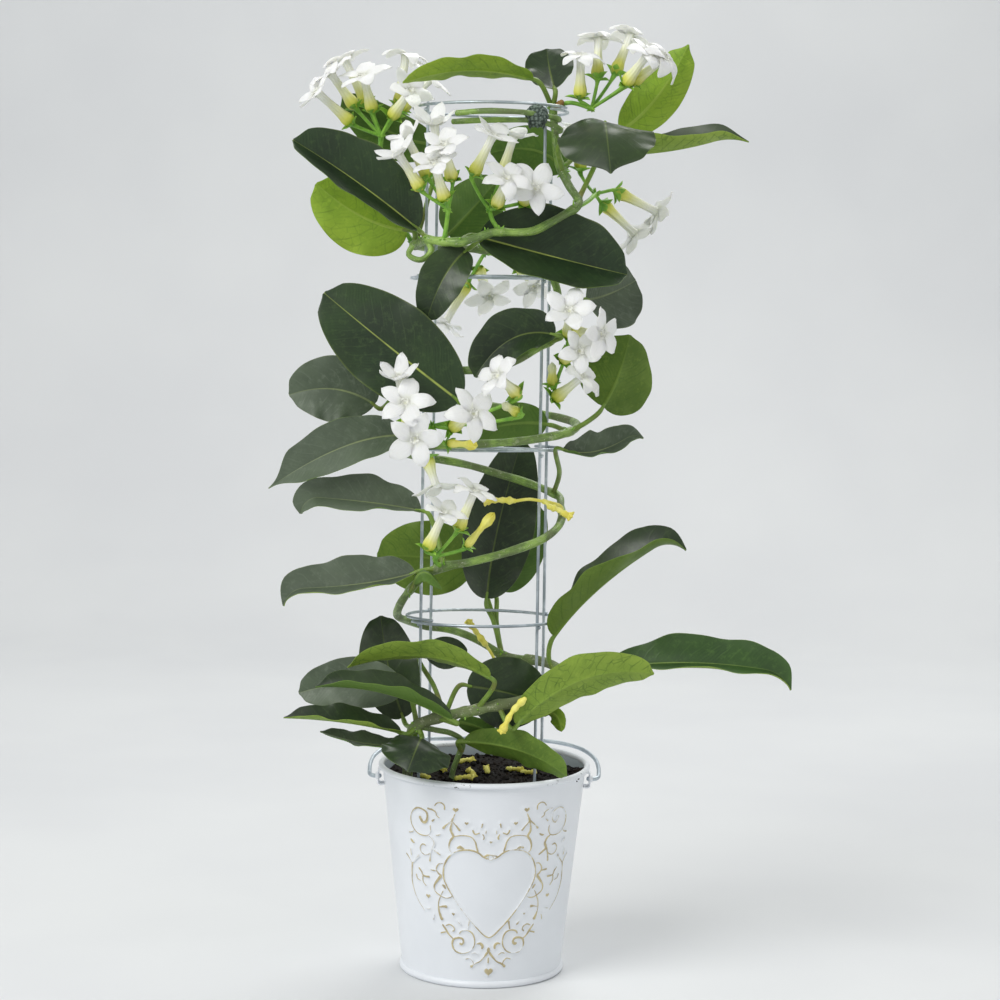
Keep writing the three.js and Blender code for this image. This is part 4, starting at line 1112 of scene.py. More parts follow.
# ---- Soil ----
def wilted_flower(sketch: Sketch, rng: Random, foot: Array, face: Array, plump: float = 1.0) -> None:
    """Adds a shrunken flower: a creased tube that ends in crumpled lobes.

    Args:
        sketch: the piece that it joins.
        rng: the seeded draws for its creases.
        foot: where its tube starts.
        face: where its lobes end.
        plump: how thick it is.
    """
    length = float(np.linalg.norm(face - foot))
    sag = np.array([rng.uniform(-0.12, 0.12), rng.uniform(-0.12, 0.12), rng.uniform(0.0, 0.12)]) * length
    sketch.grow([foot, (foot + face) / 2 + sag, face], 0.8, lambda share: np.interp(
        share, [0, 0.2, 0.5, 0.8, 1], [1.5, 2.2, 1.5, 1.7, 2.4]) * (
            1 + 0.18 * np.sin(share * 23 + rng.uniform(0, 6))) * plump, 9)
    along = unit(face - foot)
    side = unit(np.cross(along, [0.2, 0.3, 1.0]))
    for lobe in range(5):
        turn = lobe * 1.257 + rng.uniform(-0.3, 0.3)
        out = side * math.cos(turn) + np.cross(along, side) * math.sin(turn)
        tip = face + (out * rng.uniform(1.6, 3.4) + along * rng.uniform(0.4, 3.2)) * plump
        bend = (face + tip) / 2 + along * rng.uniform(0.2, 1.2)
        sketch.grow([face - along * 0.8, bend, tip], 0.6, lambda reach: plump * (
            0.25 + 1.15 * np.sin(math.pi * np.clip(reach, 0.12, 0.95)) ** 0.8), 7, flesh=(0.4, 1.0))


@dataclass
class Soil:
    """Peat filled to just under the rim and heaped up at the right, with crumbs and fallen florets on it."""

    seed: int = 11
    crumbs: int = 900
    heap_crumbs: int = 60
    rim_room: float = 1.3
    heap: Point = (58, -8, 6.4)
    fallen: tuple[tuple[tuple[float, float], float, float], ...] = (
        ((-13, -20), 0.3, 9), ((-7, -13), 1.4, 8), ((-8, 2), 1.9, 7), ((2, 0), 1.7, 8), ((18, 12), -0.5, 9),
        ((26, 5), -0.4, 8), ((-27, 8), -1.0, 9), ((-18, -47), 0.2, 4), ((-12, 32), 0.4, 8),
        ((28, 34), 1.0, 8), ((-34, -14), 2.2, 7))

    def build(self) -> None:
        """Makes the soil and what lies on it."""
        rng = np.random.default_rng(self.seed)
        sketch = Sketch()
        edge = wall_radius(SOIL_TOP) - self.rim_room
        radii = np.concatenate([np.linspace(0.05, 1, 60) * edge, [edge + 0.1, wall_radius(108) - 1.4]])
        turns = np.linspace(0, TURN, 150, endpoint=False)
        x, y = radii[:, None] * np.cos(turns), radii[:, None] * np.sin(turns)
        z = self.height(x, y)
        z[-2:] = [[SOIL_TOP - 3], [106.0]]
        sketch.sheet(np.stack([x, y, z], axis=-1), ring=True)
        for crumb in range(self.crumbs):
            reach = edge * math.sqrt(rng.uniform(0, 0.93))
            turn = rng.uniform(0, TURN)
            spot = np.array([reach * math.cos(turn), reach * math.sin(turn)])
            if crumb < self.heap_crumbs:
                spot = np.array([rng.normal(56, 3.2), rng.normal(-8, 8)])
                spot *= min(1.0, (edge + 1.5) / np.hypot(*spot))
            size = rng.uniform(0.35, 1.0) if rng.random() < 0.86 else rng.uniform(1.0, 2.2)
            self._crumb(sketch, rng, spot, size)
        sketch.make("potting_soil", [SOIL_PEAT], ("soil",), "soil", crease=60)
        self._florets(rng)

    def height(self, x: Number, y: Number) -> Number:
        """Height of the soil's lumpy surface.

        Args:
            x: how far right each place is.
            y: how far back it is.

        Returns:
            The height of each place.
        """
        lumps = 0.9 * np.sin(0.16 * x + 1.3) * np.cos(0.14 * y) + 0.5 * np.sin(0.41 * x - 0.33 * y + 2.0)
        small = 0.35 * np.sin(1.1 * x + 0.7 * y) * np.cos(0.9 * y - 0.4 * x)
        small = small + 0.22 * np.sin(2.3 * x) * np.sin(2.1 * y + 1)
        middle_x, middle_y, high = self.heap
        heap = high * np.exp(-((x - middle_x) / 12) ** 2 - ((y - middle_y) / 15) ** 2)
        return SOIL_TOP - 0.6 + lumps + small + heap

    def _crumb(self, sketch: Sketch, rng: Random, spot: Array, size: float) -> None:
        """Adds one crumb of peat, bark or root.

        Args:
            sketch: the piece that it joins.
            rng: the seeded draws for its form.
            spot: where it lies, x and y.
            size: its radius before it is stretched.
        """
        rows, columns = 5, 7
        up = np.linspace(-math.pi / 2 + 0.05, math.pi / 2 - 0.05, rows)
        around = np.linspace(0, TURN, columns, endpoint=False)
        bumps = 1 + rng.uniform(-0.3, 0.3, (rows, columns))
        stretch = np.array([rng.uniform(0.6, 1.5), rng.uniform(0.6, 1.5), rng.uniform(0.45, 0.9)]) * size
        ball = turned(np.cos(up), np.sin(up), around) * bumps[..., None] * stretch
        spin = Matrix.Rotation(rng.uniform(0, 6.28), 3, "Z") @ Matrix.Rotation(rng.uniform(-0.6, 0.6), 3, "X")
        base = [spot[0], spot[1], float(self.height(*spot)) + size * 0.25]
        tone = float(rng.random() < 0.09) * rng.uniform(0.3, 0.9)
        sketch.sheet(ball @ np.array(spin).T + base, ring=True, tone=np.full((rows, columns), tone))

    def _florets(self, rng: Random) -> None:
        """Makes the fallen yellow florets on the soil.

        Args:
            rng: the seeded draws for their creases.
        """
        sketch = Sketch()
        for (x, y), turn, length in self.fallen:
            middle = np.array([x, y, float(self.height(x, y)) + 1.7])
            along = np.array([math.cos(turn), math.sin(turn), 0.08])
            wilted_flower(sketch, rng, middle - along * length / 2, middle + along * length / 2, plump=0.78)
        sketch.make("fallen_florets", [WITHERED], ("soil",), "petal")


# ---- Wire support ----
@dataclass
class Support:
    """Four upright wires welded to four wire rings whose ends overlap, leaning back with the plant."""

    ring_radius: float = 45.7
    overlap: float = math.radians(26)
    ring_starts: tuple[float, ...] = (3.55, 0.4, 2.3, 5.6)
    climb: float = 2.1
    weld_radius: float = 1.15

    def build(self) -> None:
        """Makes the wires, the rings and the welds."""
        for name, side_x, side_y in (("front_left", -1, -1), ("front_right", 1, -1), ("back_left", -1, 1),
                                     ("back_right", 1, 1)):
            sketch = Sketch()
            sketch.tube(spaced(self.leg(side_x, side_y), 6.0), WIRE_R, 12)
            sketch.make(f"upright_{name}", [WIRE_ZINC], (f"leg_{name}",), "wire")
        for number, (level, start) in enumerate(zip(RING_LEVELS, self.ring_starts), 1):
            self._ring(number, level, start)

    def leg(self, side_x: int, side_y: int) -> Array:
        """The two ends of one upright.

        Args:
            side_x: 1 for one on the right, -1 for one on the left.
            side_y: 1 for one at the back, -1 for one at the front.

        Returns:
            Its lower and its upper end.
        """
        x, y = side_x * TOWER_HALF_X, side_y * TOWER_HALF_Y
        turned_x = TOWER_X + x * math.cos(TOWER_TURN) + y * math.sin(TOWER_TURN)
        turned_y = -x * math.sin(TOWER_TURN) + y * math.cos(TOWER_TURN)
        return np.array([[turned_x, self._lean(z) + turned_y, z] for z in (TOWER_FOOT, TOWER_TOP)])

    def _lean(self, z: float) -> float:
        """How far back the tower's axis stands at a height."""
        return (z - LEAN_FOOT_Z) * math.tan(LEAN)

    def _ring(self, number: int, level: float, start: float) -> None:
        """Makes one ring with its overlapping ends and its welds.

        Args:
            number: its number, from below.
            level: its height.
            start: the angle at which its wire starts.
        """
        sketch = Sketch()
        turn = np.linspace(start, start + TURN + self.overlap, 130)
        lift = self.climb * ease(0, 1, (turn - start) / TURN) - 0.6
        x, y = self.ring_radius * np.cos(turn), self.ring_radius * np.sin(turn)
        line = np.stack([TOWER_X + x, self._lean(level) + y * math.cos(LEAN) + lift * math.sin(LEAN),
                         level - y * math.sin(LEAN) + lift * math.cos(LEAN)], axis=1)
        sketch.tube(line, WIRE_R, 10)
        for side_x in (-1, 1):
            for side_y in (-1, 1):
                low, high = self.leg(side_x, side_y)
                on_leg = low + (high - low) * ((level - low[2]) / (high[2] - low[2]))
                out = unit(on_leg - np.array([TOWER_X, self._lean(level), level]))
                sketch.tube(np.array([on_leg + out * 0.6, on_leg + out * 1.7]), self.weld_radius, 8)
        sketch.make(f"hoop_{number}", [WIRE_ZINC], (f"ring_{number}",), "wire")


@dataclass
class Tie:
    """Knot of coarse string that holds the stem to the top ring."""

    middle: Point = (25, 511, -14)
    radius: float = 6.1
    flat: float = 0.86
    strand: float = 0.8
    wraps: int = 13
    seed: int = 5

    def build(self) -> None:
        """Makes the wound string."""
        rng = np.random.default_rng(self.seed)
        sketch = Sketch()
        centre = sighted(self.middle)
        core = np.linspace(-0.72, 0.72, 9)
        sketch.tube(centre + core[:, None] * np.array([0, 0, self.radius]),
                    self.radius * self.flat * np.sqrt(1 - core ** 2), 16, lay=core)
        turn = np.linspace(0, TURN * 1.04, 40)
        for _ in range(self.wraps):
            pole = unit(rng.normal(size=3) * [1.0, 0.7, 1.0])
            side = unit(np.cross(pole, [0.3, 1.0, 0.2]))
            offset = rng.uniform(-0.45, 0.45)
            reach = self.radius * math.sqrt(1 - offset ** 2) * (1 + 0.04 * np.sin(3 * turn + rng.uniform(0, 6)))
            loop = side * np.cos(turn)[:, None] + np.cross(pole, side) * np.sin(turn)[:, None]
            line = centre + loop * reach[:, None] * [1.0, self.flat, 1.0] + pole * offset * self.radius
            lay = np.stack([turn * self.radius, 0 * turn, 0 * turn], axis=1)
            sketch.tube(line, self.strand * rng.uniform(0.85, 1.15), 8, lay=lay)
        for sign in (-1, 1):
            tail = smooth_line([centre + [sign * 3, -3, -2], centre + [sign * 4.4, -4.4, -4.8],
                                centre + [sign * 3.6, -4.2, -7.0]], 0.7)
            sketch.tube(tail, self.strand * 0.8, 7, lay=np.linspace(0, 7, len(tail)))
        sketch.make("string_knot", [STRING], ("tie",), "string", crease=70)


# ---- Leaves ----
def leaf_width(t: Array, point: float) -> Array:
    """Width of a leaf along its midrib as a share of its greatest; its last part draws in to a point."""
    drawn_in = 1 - (0.52 + 1.8 * point) * ease(1 - point, 1, t)
    return np.sin(math.pi * np.clip(t, 0, 1) ** 0.95) ** 0.48 * drawn_in


@dataclass(frozen=True)
class Leaf:
    """A leathery leaf: base, middle and tip of its midrib, its width, how it turns, folds and waves, its point.

    A hook bends the last part of the midrib down by as many degrees.
    """

    name: str
    base: Point
    mid: Point
    tip: Point
    width: float
    roll: tuple[float, float]
    fold: float
    curl: float
    wave: float
    stalk: tuple[Point, ...]
    upper: Upper
    under: Under
    hook: float = 0.0
    point: float = 0.055
    hook_start: float = 0.82

    def rib(self, t: Array) -> tuple[Array, Array]:
        """The midrib before its hook.

        Args:
            t: shares of its length.

        Returns:
            Its points and its directions there.
        """
        base, mid, tip = sighted(self.base), sighted(self.mid), sighted(self.tip)
        bend = 2 * mid - (base + tip) / 2
        t = t[..., None]
        place = (1 - t) ** 2 * base + 2 * (1 - t) * t * bend + t ** 2 * tip
        return place, unit((1 - t) * (bend - base) + t * (tip - bend))

    def surface(self, t: Array, u: Array) -> tuple[Array, Array, Array]:
        """The blade's middle surface.

        Args:
            t: shares of the length.
            u: shares of the half width, from -1 to 1.

        Returns:
            The places, the directions that the upper face looks in, and the distances from the midrib.
        """
        place, along = self.rib(t)
        front = np.array([0.0, -0.99, 0.12])
        facing = unit(front - along * (along @ front)[..., None])
        roll = np.radians(self.roll[0] + (self.roll[1] - self.roll[0]) * t)[..., None]
        up = np.cos(roll) * facing + np.sin(roll) * np.cross(along, facing)
        width = leaf_width(t, self.point)
        reach = self.width / 2 * width * np.abs(u)
        rise = math.radians(self.fold) + math.radians(self.curl) * np.abs(u) / 2
        phase = TURN * 2.5 * t + np.where(u < 0, 2.0, 0.0)
        lift = reach * np.sin(rise) + self.wave * np.sin(phase) * np.abs(u) ** 3 * width
        ripple = 0.5 * np.sin(t * 31 + self.width + np.where(u < 0, 1.7, 0.0)) * np.abs(u) ** 4 * width
        out = reach * np.cos(rise) * np.sign(u)
        off = np.cross(along, up) * out[..., None] + up * (lift + ripple)[..., None]
        if self.hook:
            place, off, up = self._hooked(t, place, off, up)
        return place + off, up, reach * np.sign(u)

    def _hooked(self, t: Array, place: Array, off: Array, up: Array) -> tuple[Array, Array, Array]:
        """Bends the end of the midrib down on an arc of the same length.

        Args:
            t: shares of the length.
            place: places on the midrib before the bend.
            off: ways from the midrib to the blade.
            up: the directions that the upper face looks in.

        Returns:
            The last three after the bend.
        """
        (start, end), (along, _) = self.rib(np.array([self.hook_start, 1.0]))
        turn = math.radians(self.hook)
        radius = float(np.linalg.norm(end - start)) / turn
        angle = (turn * np.clip((t - self.hook_start) / (1 - self.hook_start), 0, 1))[..., None]
        down = unit(np.array([0.0, 0.0, -1.0]) + along * along[2])
        hinge = np.cross(along, down)
        arc = start + along * radius * np.sin(angle) + down * radius * (1 - np.cos(angle))
        spun = [
            way * np.cos(angle) + np.cross(hinge, way) * np.sin(angle)
            + hinge * (way @ hinge)[..., None] * (1 - np.cos(angle)) for way in (off, up)]
        return np.where(angle > 0, arc, place), spun[0], spun[1]

    def stalk_line(self) -> Array:
        """Centre line of the stalk from the vine to the midrib."""
        start, along = self.rib(np.array([0.0, 0.05, 0.12]))
        low = [on_vine(self.stalk[0]), *[sighted(p) for p in self.stalk[1:]]]
        return smooth_line([*low, start[0] - along[0] * 4, start[1]], 1.2)


@dataclass
class LeafBlade:
    """A leaf's blade with its midrib, both faces and a thin rounded margin."""

    leaf: Leaf
    rows: int = 56
    half_thick: float = 0.3
    rib_depth: float = 0.65
    channel_depth: float = 0.3
    nudge_along: float = 0.004
    nudge_across: float = 0.02
    lanes: tuple[float, ...] = (0, 0.035, 0.08, 0.16, 0.28, 0.42, 0.56, 0.7, 0.82, 0.91, 0.965, 1)

    def build(self, node: str) -> None:
        """Makes the blade.

        Args:
            node: the node of the frame that it stands for.
        """
        leaf = self.leaf
        length = float(np.linalg.norm(sighted(leaf.tip) - sighted(leaf.base)))
        share = np.linspace(0, 1, self.rows)
        share = 0.004 + 0.992 * (0.6 * share + 0.4 * (1 - np.cos(math.pi * share)) / 2)
        lanes = np.array(self.lanes)
        t, u = np.meshgrid(share, np.concatenate([-lanes[:0:-1], lanes]), indexing="ij")
        middle, up, out = leaf.surface(t, u)
        normal = self._normal(t, u, up)
        half = self.half_thick * (1 - 0.55 * np.abs(u) ** 6)
        ridge = np.exp(-(out / 0.85) ** 2) * (1 - 0.75 * t)
        channel = np.exp(-(out / 0.8) ** 2) * (1 - 0.6 * t)
        upper = middle + normal * (half - self.channel_depth * channel)[..., None]
        lower = middle - normal * (half + self.rib_depth * ridge)[..., None]
        blade = np.stack([t * length, out, leaf.width / 2 * leaf_width(t, leaf.point)], axis=-1)
        sketch = Sketch()
        sketch.sheet(upper, 0, back=True, blade=blade, tip=t)
        sketch.sheet(lower, 1, blade=blade, tip=t)
        rim_upper, rim_lower, rim_blade = (
            np.vstack([g[:, 0], g[-1, 1:], g[::-1, -1][1:], g[0, ::-1][1:-1]]) for g in (upper, lower, blade))
        sketch.sheet(np.stack([rim_upper, rim_lower]), 1, ring=True, back=True,
                     blade=np.stack([rim_blade, rim_blade]))
        sketch.make(f"blade_{leaf.name.removeprefix('leaf_')}", [leaf_face(leaf.upper), leaf_face(leaf.under)],
                    (node,), "leaf", crease=75)

    def _normal(self, t: Array, u: Array, up: Array) -> Array:
        """Directions square to the blade's middle surface.

        Args:
            t: shares of the length.
            u: shares of the half width.
            up: about where the upper face looks.

        Returns:
            The direction at each place, on the upper face's side.
        """
        ahead = self.leaf.surface(np.clip(t + self.nudge_along, 0, 0.9999), u)[0]
        behind = self.leaf.surface(np.clip(t - self.nudge_along, 0.0001, 1), u)[0]
        right = self.leaf.surface(t, np.clip(u + self.nudge_across, -1, 1))[0]
        left = self.leaf.surface(t, np.clip(u - self.nudge_across, -1, 1))[0]
        normal = unit(np.cross(right - left, ahead - behind))
        return normal * np.sign(np.sum(normal * up, axis=-1, keepdims=True) + 1e-9)


# ---- Shapes of the flowers ----
@dataclass(frozen=True)
class Bloom:
    """One open flower: its tube's foot, its face's middle, its lobes' lean forward and their reach."""

    foot: Point
    face: Point
    lean: float = -2.0
    size: float = LIMB_R


@dataclass(frozen=True)
class Cluster:
    """Flowers on one stalk: its points, where their stems part, open flowers, buds, and which buds withered."""

    name: str
    stalk: tuple[Point, ...]
    joint: Point
    blooms: tuple[Bloom, ...]
    buds: tuple[tuple[Point, Point], ...] = ()
    wilted: tuple[int, ...] = ()

    def stalk_points(self) -> list[Array]:
        """Places that the stalk passes through, from the vine to the joint."""
        return [on_vine(self.stalk[0]), *[sighted(p) for p in (*self.stalk[1:], self.joint)]]


# ---- Vine ----
@cache
def vine_line(number: int) -> Array:
    """Centre line of one stem of the vine."""
    return smooth_line([sighted(p) for p in STEMS[number][0]], STEM_STEP)


def on_vine(point: Point) -> Array:
    """The place on the vine's centre lines nearest to a point of the elevation."""
    lines = np.vstack([vine_line(i) for i in range(len(STEMS))])
    return lines[np.linalg.norm(lines - sighted(point), axis=1).argmin()]


@dataclass
class Vine:
    """The twining stems with their joints, the leaf stalks and the small leaves near them."""

    swell: float = 0.22
    swell_reach: float = 3.4
    stalk_radius: float = 1.5
    caught_foot: Point = (24, 165, -58)
    caught_face: Point = (11, 146, -58)
    scar_foot: Point = (36, 515, 12)
    scar_top: Point = (39.5, 519.5, 9)

    def build(self) -> None:
        """Makes stems, stalks, small leaves, withered groups, the caught floret and the cut shoot."""
        sketch = Sketch()
        joints = [leaf.stalk_line()[0] for leaf in (*LEAVES, *SMALL_LEAVES)]
        joints = np.array([*joints, *[on_vine(cluster.stalk[0]) for cluster in CLUSTERS]])
        for number, (_, radius, age) in enumerate(STEMS):
            line = vine_line(number)
            run = np.arange(len(line)) * STEM_STEP
            gap = np.linalg.norm(line[:, None] - joints[None], axis=2).min(axis=1)
            size = radius * (0.97 + 0.05 * np.sin(run / 9.0) + 0.03 * np.sin(run / 3.7 + number))
            size = size + self.swell * radius * np.exp(-(gap / self.swell_reach) ** 2)
            self._stem(sketch, line, size, 14, 0, run, 0 * run + age)
        for leaf in (*LEAVES, *SMALL_LEAVES):
            line = leaf.stalk_line()
            share = np.linspace(0, 1, len(line))
            size = self.stalk_radius + 0.7 * np.exp(-share * len(line) * 1.2 / 2.6) - 0.55 * ease(0.75, 1, share)
            self._stem(sketch, line, size, 9, 1, share * 20, 0.28 * np.exp(-share * 6))
        self._buds(sketch, joints)
        sketch.make("vine_stems", [STEM, PETIOLE, CALYX], ("vine",), "stem")
        for number, cluster in enumerate(FADED):
            self._faded(number, cluster)
        self._caught_floret()
        self._scar()
        for leaf in SMALL_LEAVES:
            LeafBlade(leaf, rows=30).build("vine")

    def _caught_floret(self) -> None:
        """Makes the fallen flower that hangs over the low leaf at the front."""
        sketch = Sketch()
        wilted_flower(sketch, np.random.default_rng(8), sighted(self.caught_foot), sighted(self.caught_face))
        sketch.make("caught_floret", [WITHERED], ("vine",), "petal")

    def _scar(self) -> None:
        """Makes the short brown stub of a cut shoot beside the knot."""
        sketch = Sketch()
        foot, top = on_vine(self.scar_foot), sighted(self.scar_top)
        line = smooth_line([foot, (foot + top) / 2 + [0.6, 0, 0], top], 0.6)
        share = np.linspace(0, 1, len(line))
        size = 1.7 + 0.6 * ease(0.3, 0.7, share) - 0.9 * ease(0.75, 1, share) + 0.15 * np.sin(share * 40)
        self._stem(sketch, line, size, 12, 0, share * 8, 1.2 * ease(0.2, 0.7, share))
        sketch.make("cut_shoot", [SCAR], ("vine",), "stem")

    def _faded(self, number: int, cluster: Cluster) -> None:
        """Makes a withered group: its yellowed stalk and what is left of its flowers.

        Args:
            number: its number, from 0.
            cluster: its stalk and its flowers' ends.
        """
        rng = np.random.default_rng(3 + number)
        sketch = Sketch()
        joint = sighted(cluster.joint)
        sketch.grow(cluster.stalk_points(), 1.0, lambda share: 1.25 + 0.45 * share ** 6, 9, flesh=(0.0, 0.3))
        for foot, tip in cluster.buds:
            start = sighted(foot)
            bend = (joint + start) / 2 + [0, 0, rng.uniform(0.4, 1.2)]
            sketch.grow([joint, bend, start], 1.0, lambda share: 0.95, 8, flesh=(0.3, 0.3))
            wilted_flower(sketch, rng, start, sighted(tip))
        sketch.make(f"withered_group_{number + 1}", [WITHERED], ("vine",), "stem")

    def _stem(self, sketch: Sketch, line: Array, size: Array, sides: int, finish: int, run: Array,
              age: Array) -> None:
        """Adds one stem whose marks tell the way along it, the way round it and how woody it is.

        Args:
            sketch: the piece that it joins.
            line: its centre line.
            size: its radius at each point.
            sides: how many sides it has.
            finish: the number of its finish.
            run: the way along it at each point.
            age: how woody it is at each point.
        """
        start = sketch.count
        sketch.tube(line, size, sides, finish, bark=np.stack([run, 0 * run, age], axis=1))
        turn = np.arange(sketch.count - start) % sides / sides
        sketch.marks["bark"][-1][:, 1] = np.abs(turn - 0.5) * 4

    def _buds(self, sketch: Sketch, joints: Array) -> None:
        """Adds a pair of small pointed buds in the crook of each joint.

        Args:
            sketch: the piece that they join.
            joints: where the stalks leave the vine.
        """
        rng = np.random.default_rng(17)
        for joint in joints:
            for _ in range(2):
                way = unit(rng.normal(size=3) + [0, -0.4, 0.8])
                points = [joint + way * 1.6, joint + way * 3.4, joint + way * rng.uniform(4.4, 5.6)]
                sketch.grow(points, 0.5, lambda share: 0.15 + 0.75 * (1 - share) ** 0.7, 7, 2)


# ---- Flowers ----
@dataclass
class FlowerCluster:
    """A cluster of waxy flowers with stalk, stems, calyx, tubes and lobes."""

    cluster: Cluster
    seed: int
    lobe_half: float = 5.5
    lobe_rows: int = 20
    lobe_thick: float = 0.9
    lobe_lanes: tuple[float, ...] = (-1, -0.94, -0.8, -0.58, -0.32, 0, 0.32, 0.58, 0.8, 0.94, 1)
    parts: int = 5
    bracts: int = 9
    bud_scale: float = 0.85
    sketch: Sketch = field(default_factory=Sketch)
    rng: Random = field(init=False)
    joint: Array = field(init=False)

    def __post_init__(self) -> None:
        """Sets its own random numbers and the place where its stems part."""
        self.rng = np.random.default_rng(self.seed)
        self.joint = sighted(self.cluster.joint)

    def build(self) -> None:
        """Makes the cluster."""
        self.sketch.grow(self.cluster.stalk_points(), 1.2, lambda run: (
            1.3 + 0.5 * np.exp(-run * 12) + 0.35 * np.exp(-((run - 1) * 9) ** 2)), 10, 2, flesh=(0.0, 0.2))
        self._bracts()
        for bloom in self.cluster.blooms:
            self._bloom(bloom)
        for number, (foot, tip) in enumerate(self.cluster.buds):
            closed = self._wilted if number in self.cluster.wilted else self._bud
            closed(sighted(foot), sighted(tip))
        self.sketch.make(self.cluster.name.replace("flowers", "blooms"), [PETAL, TUBE, CALYX, WITHERED],
                         (self.cluster.name,), "petal", crease=70)

    def _bracts(self) -> None:
        """Adds the little pointed bracts where the flower stems part."""
        for _ in range(self.bracts):
            way = unit(self.rng.normal(size=3))
            end = self.joint + way * self.rng.uniform(3.0, 4.2) + [0, 0, 0.5]
            self.sketch.grow([self.joint, self.joint + way * 1.9, end], 0.5,
                             lambda share: 0.12 + 0.85 * (1 - share) ** 0.6, 7, 2)

    def _seat(self, foot: Array, tip: Array, scale: float) -> tuple[Array, float]:
        """Adds the stem of one flower, which thickens under it, and its calyx.

        Args:
            foot: where the flower's tube starts.
            tip: where the flower ends.
            scale: how large the calyx is.

        Returns:
            The turn from upright to the flower's axis, and the flower's length.
        """
        gap = float(np.linalg.norm(foot - self.joint))
        axis = unit(tip - foot)
        bend = self.joint + (foot - self.joint) * 0.5 - axis * gap * 0.08
        self.sketch.grow([self.joint, bend, foot - axis * 1.5, foot + axis * 0.6], 1.0,
                         lambda share: 1.05 + 0.75 * ease(0.75, 1, share), 9, 2, flesh=(0.0, 0.3))
        turn = np.array(Vector((0, 0, 1)).rotation_difference(Vector(axis)).to_matrix())
        for sepal in range(self.parts):
            self._sepal(foot, turn, scale, sepal)
        return turn, float(np.linalg.norm(tip - foot))

    def _sepal(self, foot: Array, turn: Array, scale: float, sepal: int) -> None:
        """Adds one of the pointed sepals that spread under the tube.

        Args:
            foot: where the flower's tube starts.
            turn: the turn from upright to the flower's axis.
            scale: how large the calyx is.
            sepal: the sepal's number, from 0.
        """
        rng = self.rng
        share = np.linspace(0, 1, 9)
        lanes = np.array([-1, -0.6, -0.2, 0.2, 0.6, 1])
        spread = rng.uniform(0.55, 1.25)
        length = rng.uniform(5.4, 7.0) * scale
        width = 2.2 * scale * np.sin(math.pi * np.clip(share ** 0.8, 0.12, 0.985)) ** 0.8
        curl = rng.uniform(0.05, 0.4)
        out = 1.5 * scale + length * (share * math.sin(spread) + curl * share ** 2.5)
        high = -0.7 * scale + length * (share * math.cos(spread) - 0.5 * curl * share ** 3)
        leafy = np.stack([
            out[:, None] - 0.5 * (lanes ** 2)[None] * share[:, None] * scale,
            width[:, None] * lanes[None],
            high[:, None] + 0.45 * (lanes ** 2)[None] * width[:, None]], axis=-1)
        angle = TURN * (sepal + 0.5) / self.parts + rng.uniform(-0.2, 0.2)
        spin = np.array(Matrix.Rotation(angle, 3, "Z"))
        inside, below = 1 - (lanes ** 4)[None, :, None], 1 - share[:, None, None] ** 6
        for depth, back in ((0.0, True), (-0.35 * scale, False)):
            sunk = np.array([0.0, 0.0, depth]) * inside * below
            grid = ((leafy + sunk) @ spin.T) @ turn.T + foot
            self.sketch.sheet(grid, 2, back=back, flesh=widened(share, len(lanes)))

    def _bloom(self, bloom: Bloom) -> None:
        """Adds one open flower.

        Args:
            bloom: where it stands and how its lobes lie.
        """
        foot = sighted(bloom.foot)
        turn, length = self._seat(foot, sighted(bloom.face), 1.0)
        self._tube(foot, turn, length)
        for lobe in range(self.parts):
            self._lobe(foot, turn, length, lobe, bloom)

    def _tube(self, foot: Array, turn: Array, length: float) -> None:
        """Adds the swollen tube and its shallow throat.

        Args:
            foot: where the tube starts.
            turn: the turn from upright to the flower's axis.
            length: the tube's length.
        """
        high = np.concatenate([np.linspace(-0.4, 8, 14), np.linspace(9.2, length - 1.2, 12), [length - 0.4]])
        wide = np.interp(high, [-0.4, 0.5, 1.6, 3.4, 5.6, 8.4, max(length * 0.6, 9.5), length * 0.88, length],
                         [1.6, 2.9, 3.7, 4.0, 3.8, 3.1, 2.4, 2.35, 3.2])
        throat = np.array([[3.1, 0.1, 1.0], [2.6, 0.4, 1.0], [2.05, 0.1, 1.0], [1.6, -0.4, 0.95],
                           [1.15, -1.0, 0.8], [0.7, -1.3, 0.68], [0.05, -1.2, 0.62]]) + [0, length, 0]
        rows = np.vstack([np.stack([wide, high, high / length], axis=1), throat])
        around = np.linspace(0, TURN, 22, endpoint=False)
        grid = turned(rows[:, 0], rows[:, 1], around, 1 + 0.025 * np.cos(around * 5))
        self._skin(grid, foot, turn, rows[:, 2], around)

    def _skin(self, grid: Array, foot: Array, turn: Array, share: Array, around: Array) -> None:
        """Adds the skin of a tube, with the marks that its finish reads.

        Args:
            grid: its points about the upright axis.
            foot: where it starts.
            turn: the turn from upright to its axis.
            share: how far from green to white each row is.
            around: the angles of the columns.
        """
        shape = grid.shape[:2]
        petal = np.stack([widened(share, shape[1]), np.broadcast_to(around / TURN, shape), np.zeros(shape)],
                         axis=-1)
        self.sketch.sheet(grid @ turn.T + foot, 1, ring=True, petal=petal)

